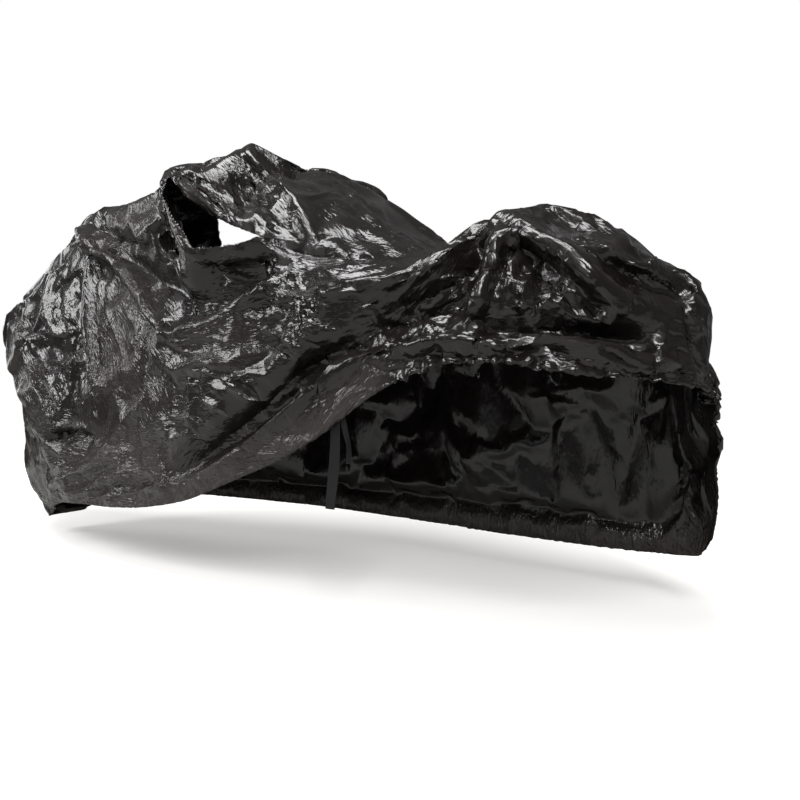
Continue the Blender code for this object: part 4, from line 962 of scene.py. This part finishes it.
cover = mesh_object("cover_film", points - HELD_AT, quads.tolist(), film)
for name, values in (("dull_and_sheen", dull_and_sheen), ("crumpled", crumpled)):
    cover.data.attributes.new(name, "FLOAT", "POINT").data.foreach_set("value", values.ravel())
way = np.stack((np.cos(2 * grain_way), np.sin(2 * grain_way), 0 * grain_way), axis=1)
cover.data.attributes.new("drawn", "FLOAT_VECTOR", "POINT").data.foreach_set("vector", way.ravel())
thin_out = cover.modifiers.new("fewer_faces", "DECIMATE")
thin_out.ratio = FACE_TRIANGLES / (2 * len(quads))
thin_out.use_collapse_triangulate = True
bpy.context.view_layer.objects.active = cover
bpy.ops.object.modifier_apply(modifier=thin_out.name)
cover.data.set_sharp_from_angle(angle=SHARP_FROM)
thickness = cover.modifiers.new("film", "SOLIDIFY")
thickness.thickness = FILM_THICK
thickness.offset = -1.0
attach(cover, "root")
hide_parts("cover")


# ======================================================================================= ties
# Two loose ends of one flat tie, black polypropylene webbing woven narrow, seated inside the near hem. The
# long one ends in a plain square cut, the short one is seen edge on because it is twisted.
WEBBING_THICK = 0.0014
YARN_PITCH = 0.0018                            # the warp's ribs, side by side across the strap
PICK_PITCH = 0.0024                            # the weft's crossings, one above the other along it
YARN_HEIGHT = 0.00022
YARN_STEPS, PICK_STEPS = 5, 4                  # places in one rib, and from one crossing to the next

# One row for each place down a tie: how far below its top, how far off to the side, how far off in depth,
# and how far it is turned about its length, in degrees.
TIES = {
    "tie_long": (0.025, (
        (0.000, 0.000, 0.000, 0), (0.020, 0.000, 0.000, 0), (0.044, 0.000, 0.001, 0),
        (0.079, -0.002, 0.003, 4), (0.114, -0.005, 0.004, 8), (0.147, -0.008, 0.003, 6),
        (0.174, -0.010, 0.001, 0), (0.197, -0.011, 0.000, -3))),
    "tie_short": (0.012, (
        (0.000, 0.000, 0.000, 0), (0.016, 0.000, 0.000, 0), (0.034, 0.001, 0.004, 25),
        (0.054, 0.004, 0.008, 55), (0.074, 0.009, 0.009, 70), (0.094, 0.011, 0.008, 62),
        (0.112, 0.011, 0.007, 50))),
}


def top_of_tie(name):
    """The middle of the top edge of a tie's solid."""
    solid = np.array([tuple(corner.co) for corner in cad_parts[name].data.vertices])
    return solid[solid[:, 2] > solid[:, 2].max() - 0.0001].mean(axis=0)


def webbing(top, width, rows):
    """A woven strap: a flat ring of places around the width, carried down the course. Each yarn stands out
    by YARN_HEIGHT * sin(across), whole where it passes over and a tenth of it where it passes under, and
    the strap thins to a third at its two edges."""
    rows = np.array(rows, float)
    length = rows[-1, 0]
    along = np.linspace(0, len(rows) - 1, int(length / PICK_PITCH * PICK_STEPS))
    drop, off_x, off_y, turn = smooth_rows(rows, along).T
    ribs = round(width / YARN_PITCH)
    side = np.linspace(0, 1, ribs * YARN_STEPS + 1)
    u = np.concatenate((side, side[::-1]))                       # across the front, then back
    front = np.concatenate((np.ones(side.size), -np.ones(side.size)))
    over = np.cos(np.pi * (drop[:, None] / PICK_PITCH + np.floor(u * ribs - 1e-6) + (front < 0)))
    yarn = YARN_HEIGHT * np.abs(np.sin(np.pi * u * ribs)) * (0.55 + 0.45 * over)
    edge = np.clip(np.minimum(u, 1 - u) * width / WEBBING_THICK, 0, 1) ** 0.5
    depth = front * ((WEBBING_THICK / 2 - YARN_HEIGHT) * (0.35 + 0.65 * edge) + yarn * edge)
    reach = (u - 0.5) * width
    turn = np.radians(turn)[:, None]
    x = top[0] + off_x[:, None] + reach * np.cos(turn) + depth * np.sin(turn)
    y = top[1] + off_y[:, None] + reach * np.sin(turn) - depth * np.cos(turn)
    z = np.broadcast_to(top[2] - drop[:, None], x.shape)
    return np.stack((x, y, z), axis=-1)


def strap_faces(down, around):
    """Faces of a closed strap: between neighbouring rings, then a cap on each end that joins the front's
    places to the back's."""
    corner = np.arange(down * around).reshape(down, around)
    beside = np.roll(corner, -1, axis=1)
    quads = np.stack((corner[:-1], corner[1:], beside[1:], beside[:-1]), axis=-1).reshape(-1, 4).tolist()
    half = around // 2
    for end, turned in ((0, False), (down - 1, True)):
        front_row, back_row = corner[end, :half], corner[end, half:][::-1]
        cap = np.stack((front_row[:-1], front_row[1:], back_row[1:], back_row[:-1]), axis=-1)
        quads += (cap[:, ::-1] if turned else cap).tolist()
    return quads


# Polypropylene webbing, woven of dull black yarns: its ribs and picks are in the mesh, and the eye sees
# the yarns' fibres as fine strokes along it. They are drawn 0.4 mm apart, coarser than real ones.
WEBBING_DARK, WEBBING_LIGHT = hex_colour("#070708"), hex_colour("#121213")
FIBRES_PER_METRE, FIBRE_LENGTHWAYS, FIBRE_HEIGHT = 2600.0, 0.15, 0.0003
weave, tree, output = new_material("woven_polypropylene_webbing")
place = add_node(tree, "ShaderNodeTexCoord").outputs["Object"]
drawn_out = add_node(tree, "ShaderNodeMapping", inputs={
    "Vector": place, "Scale": (1.0, 1.0, FIBRE_LENGTHWAYS)})
fibres = add_node(tree, "ShaderNodeTexNoise", inputs={
    "Vector": drawn_out.outputs[0], "Scale": FIBRES_PER_METRE, "Detail": 2.0})
fibre_bump = add_node(tree, "ShaderNodeBump", inputs={
    "Strength": 0.5, "Distance": FIBRE_HEIGHT, "Height": fibres.outputs[0]})
tone = add_node(tree, "ShaderNodeMix", {"data_type": "RGBA"}, {
    "Factor": fibres.outputs[0], "A": (*WEBBING_DARK, 1.0), "B": (*WEBBING_LIGHT, 1.0)})
shader = add_node(tree, "ShaderNodeBsdfPrincipled", inputs={
    "Base Color": tone.outputs["Result"], "Roughness": 0.7, "IOR": 1.49,
    "Specular IOR Level": 0.25, "Normal": fibre_bump.outputs[0]})
tree.links.new(shader.outputs["BSDF"], output.inputs["Surface"])

for name, (width, rows) in TIES.items():
    strap = webbing(top_of_tie(name), width, rows)
    tie = mesh_object(name + "_webbing", strap, strap_faces(*strap.shape[:2]), weave)
    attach(tie, "root")
    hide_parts(name)
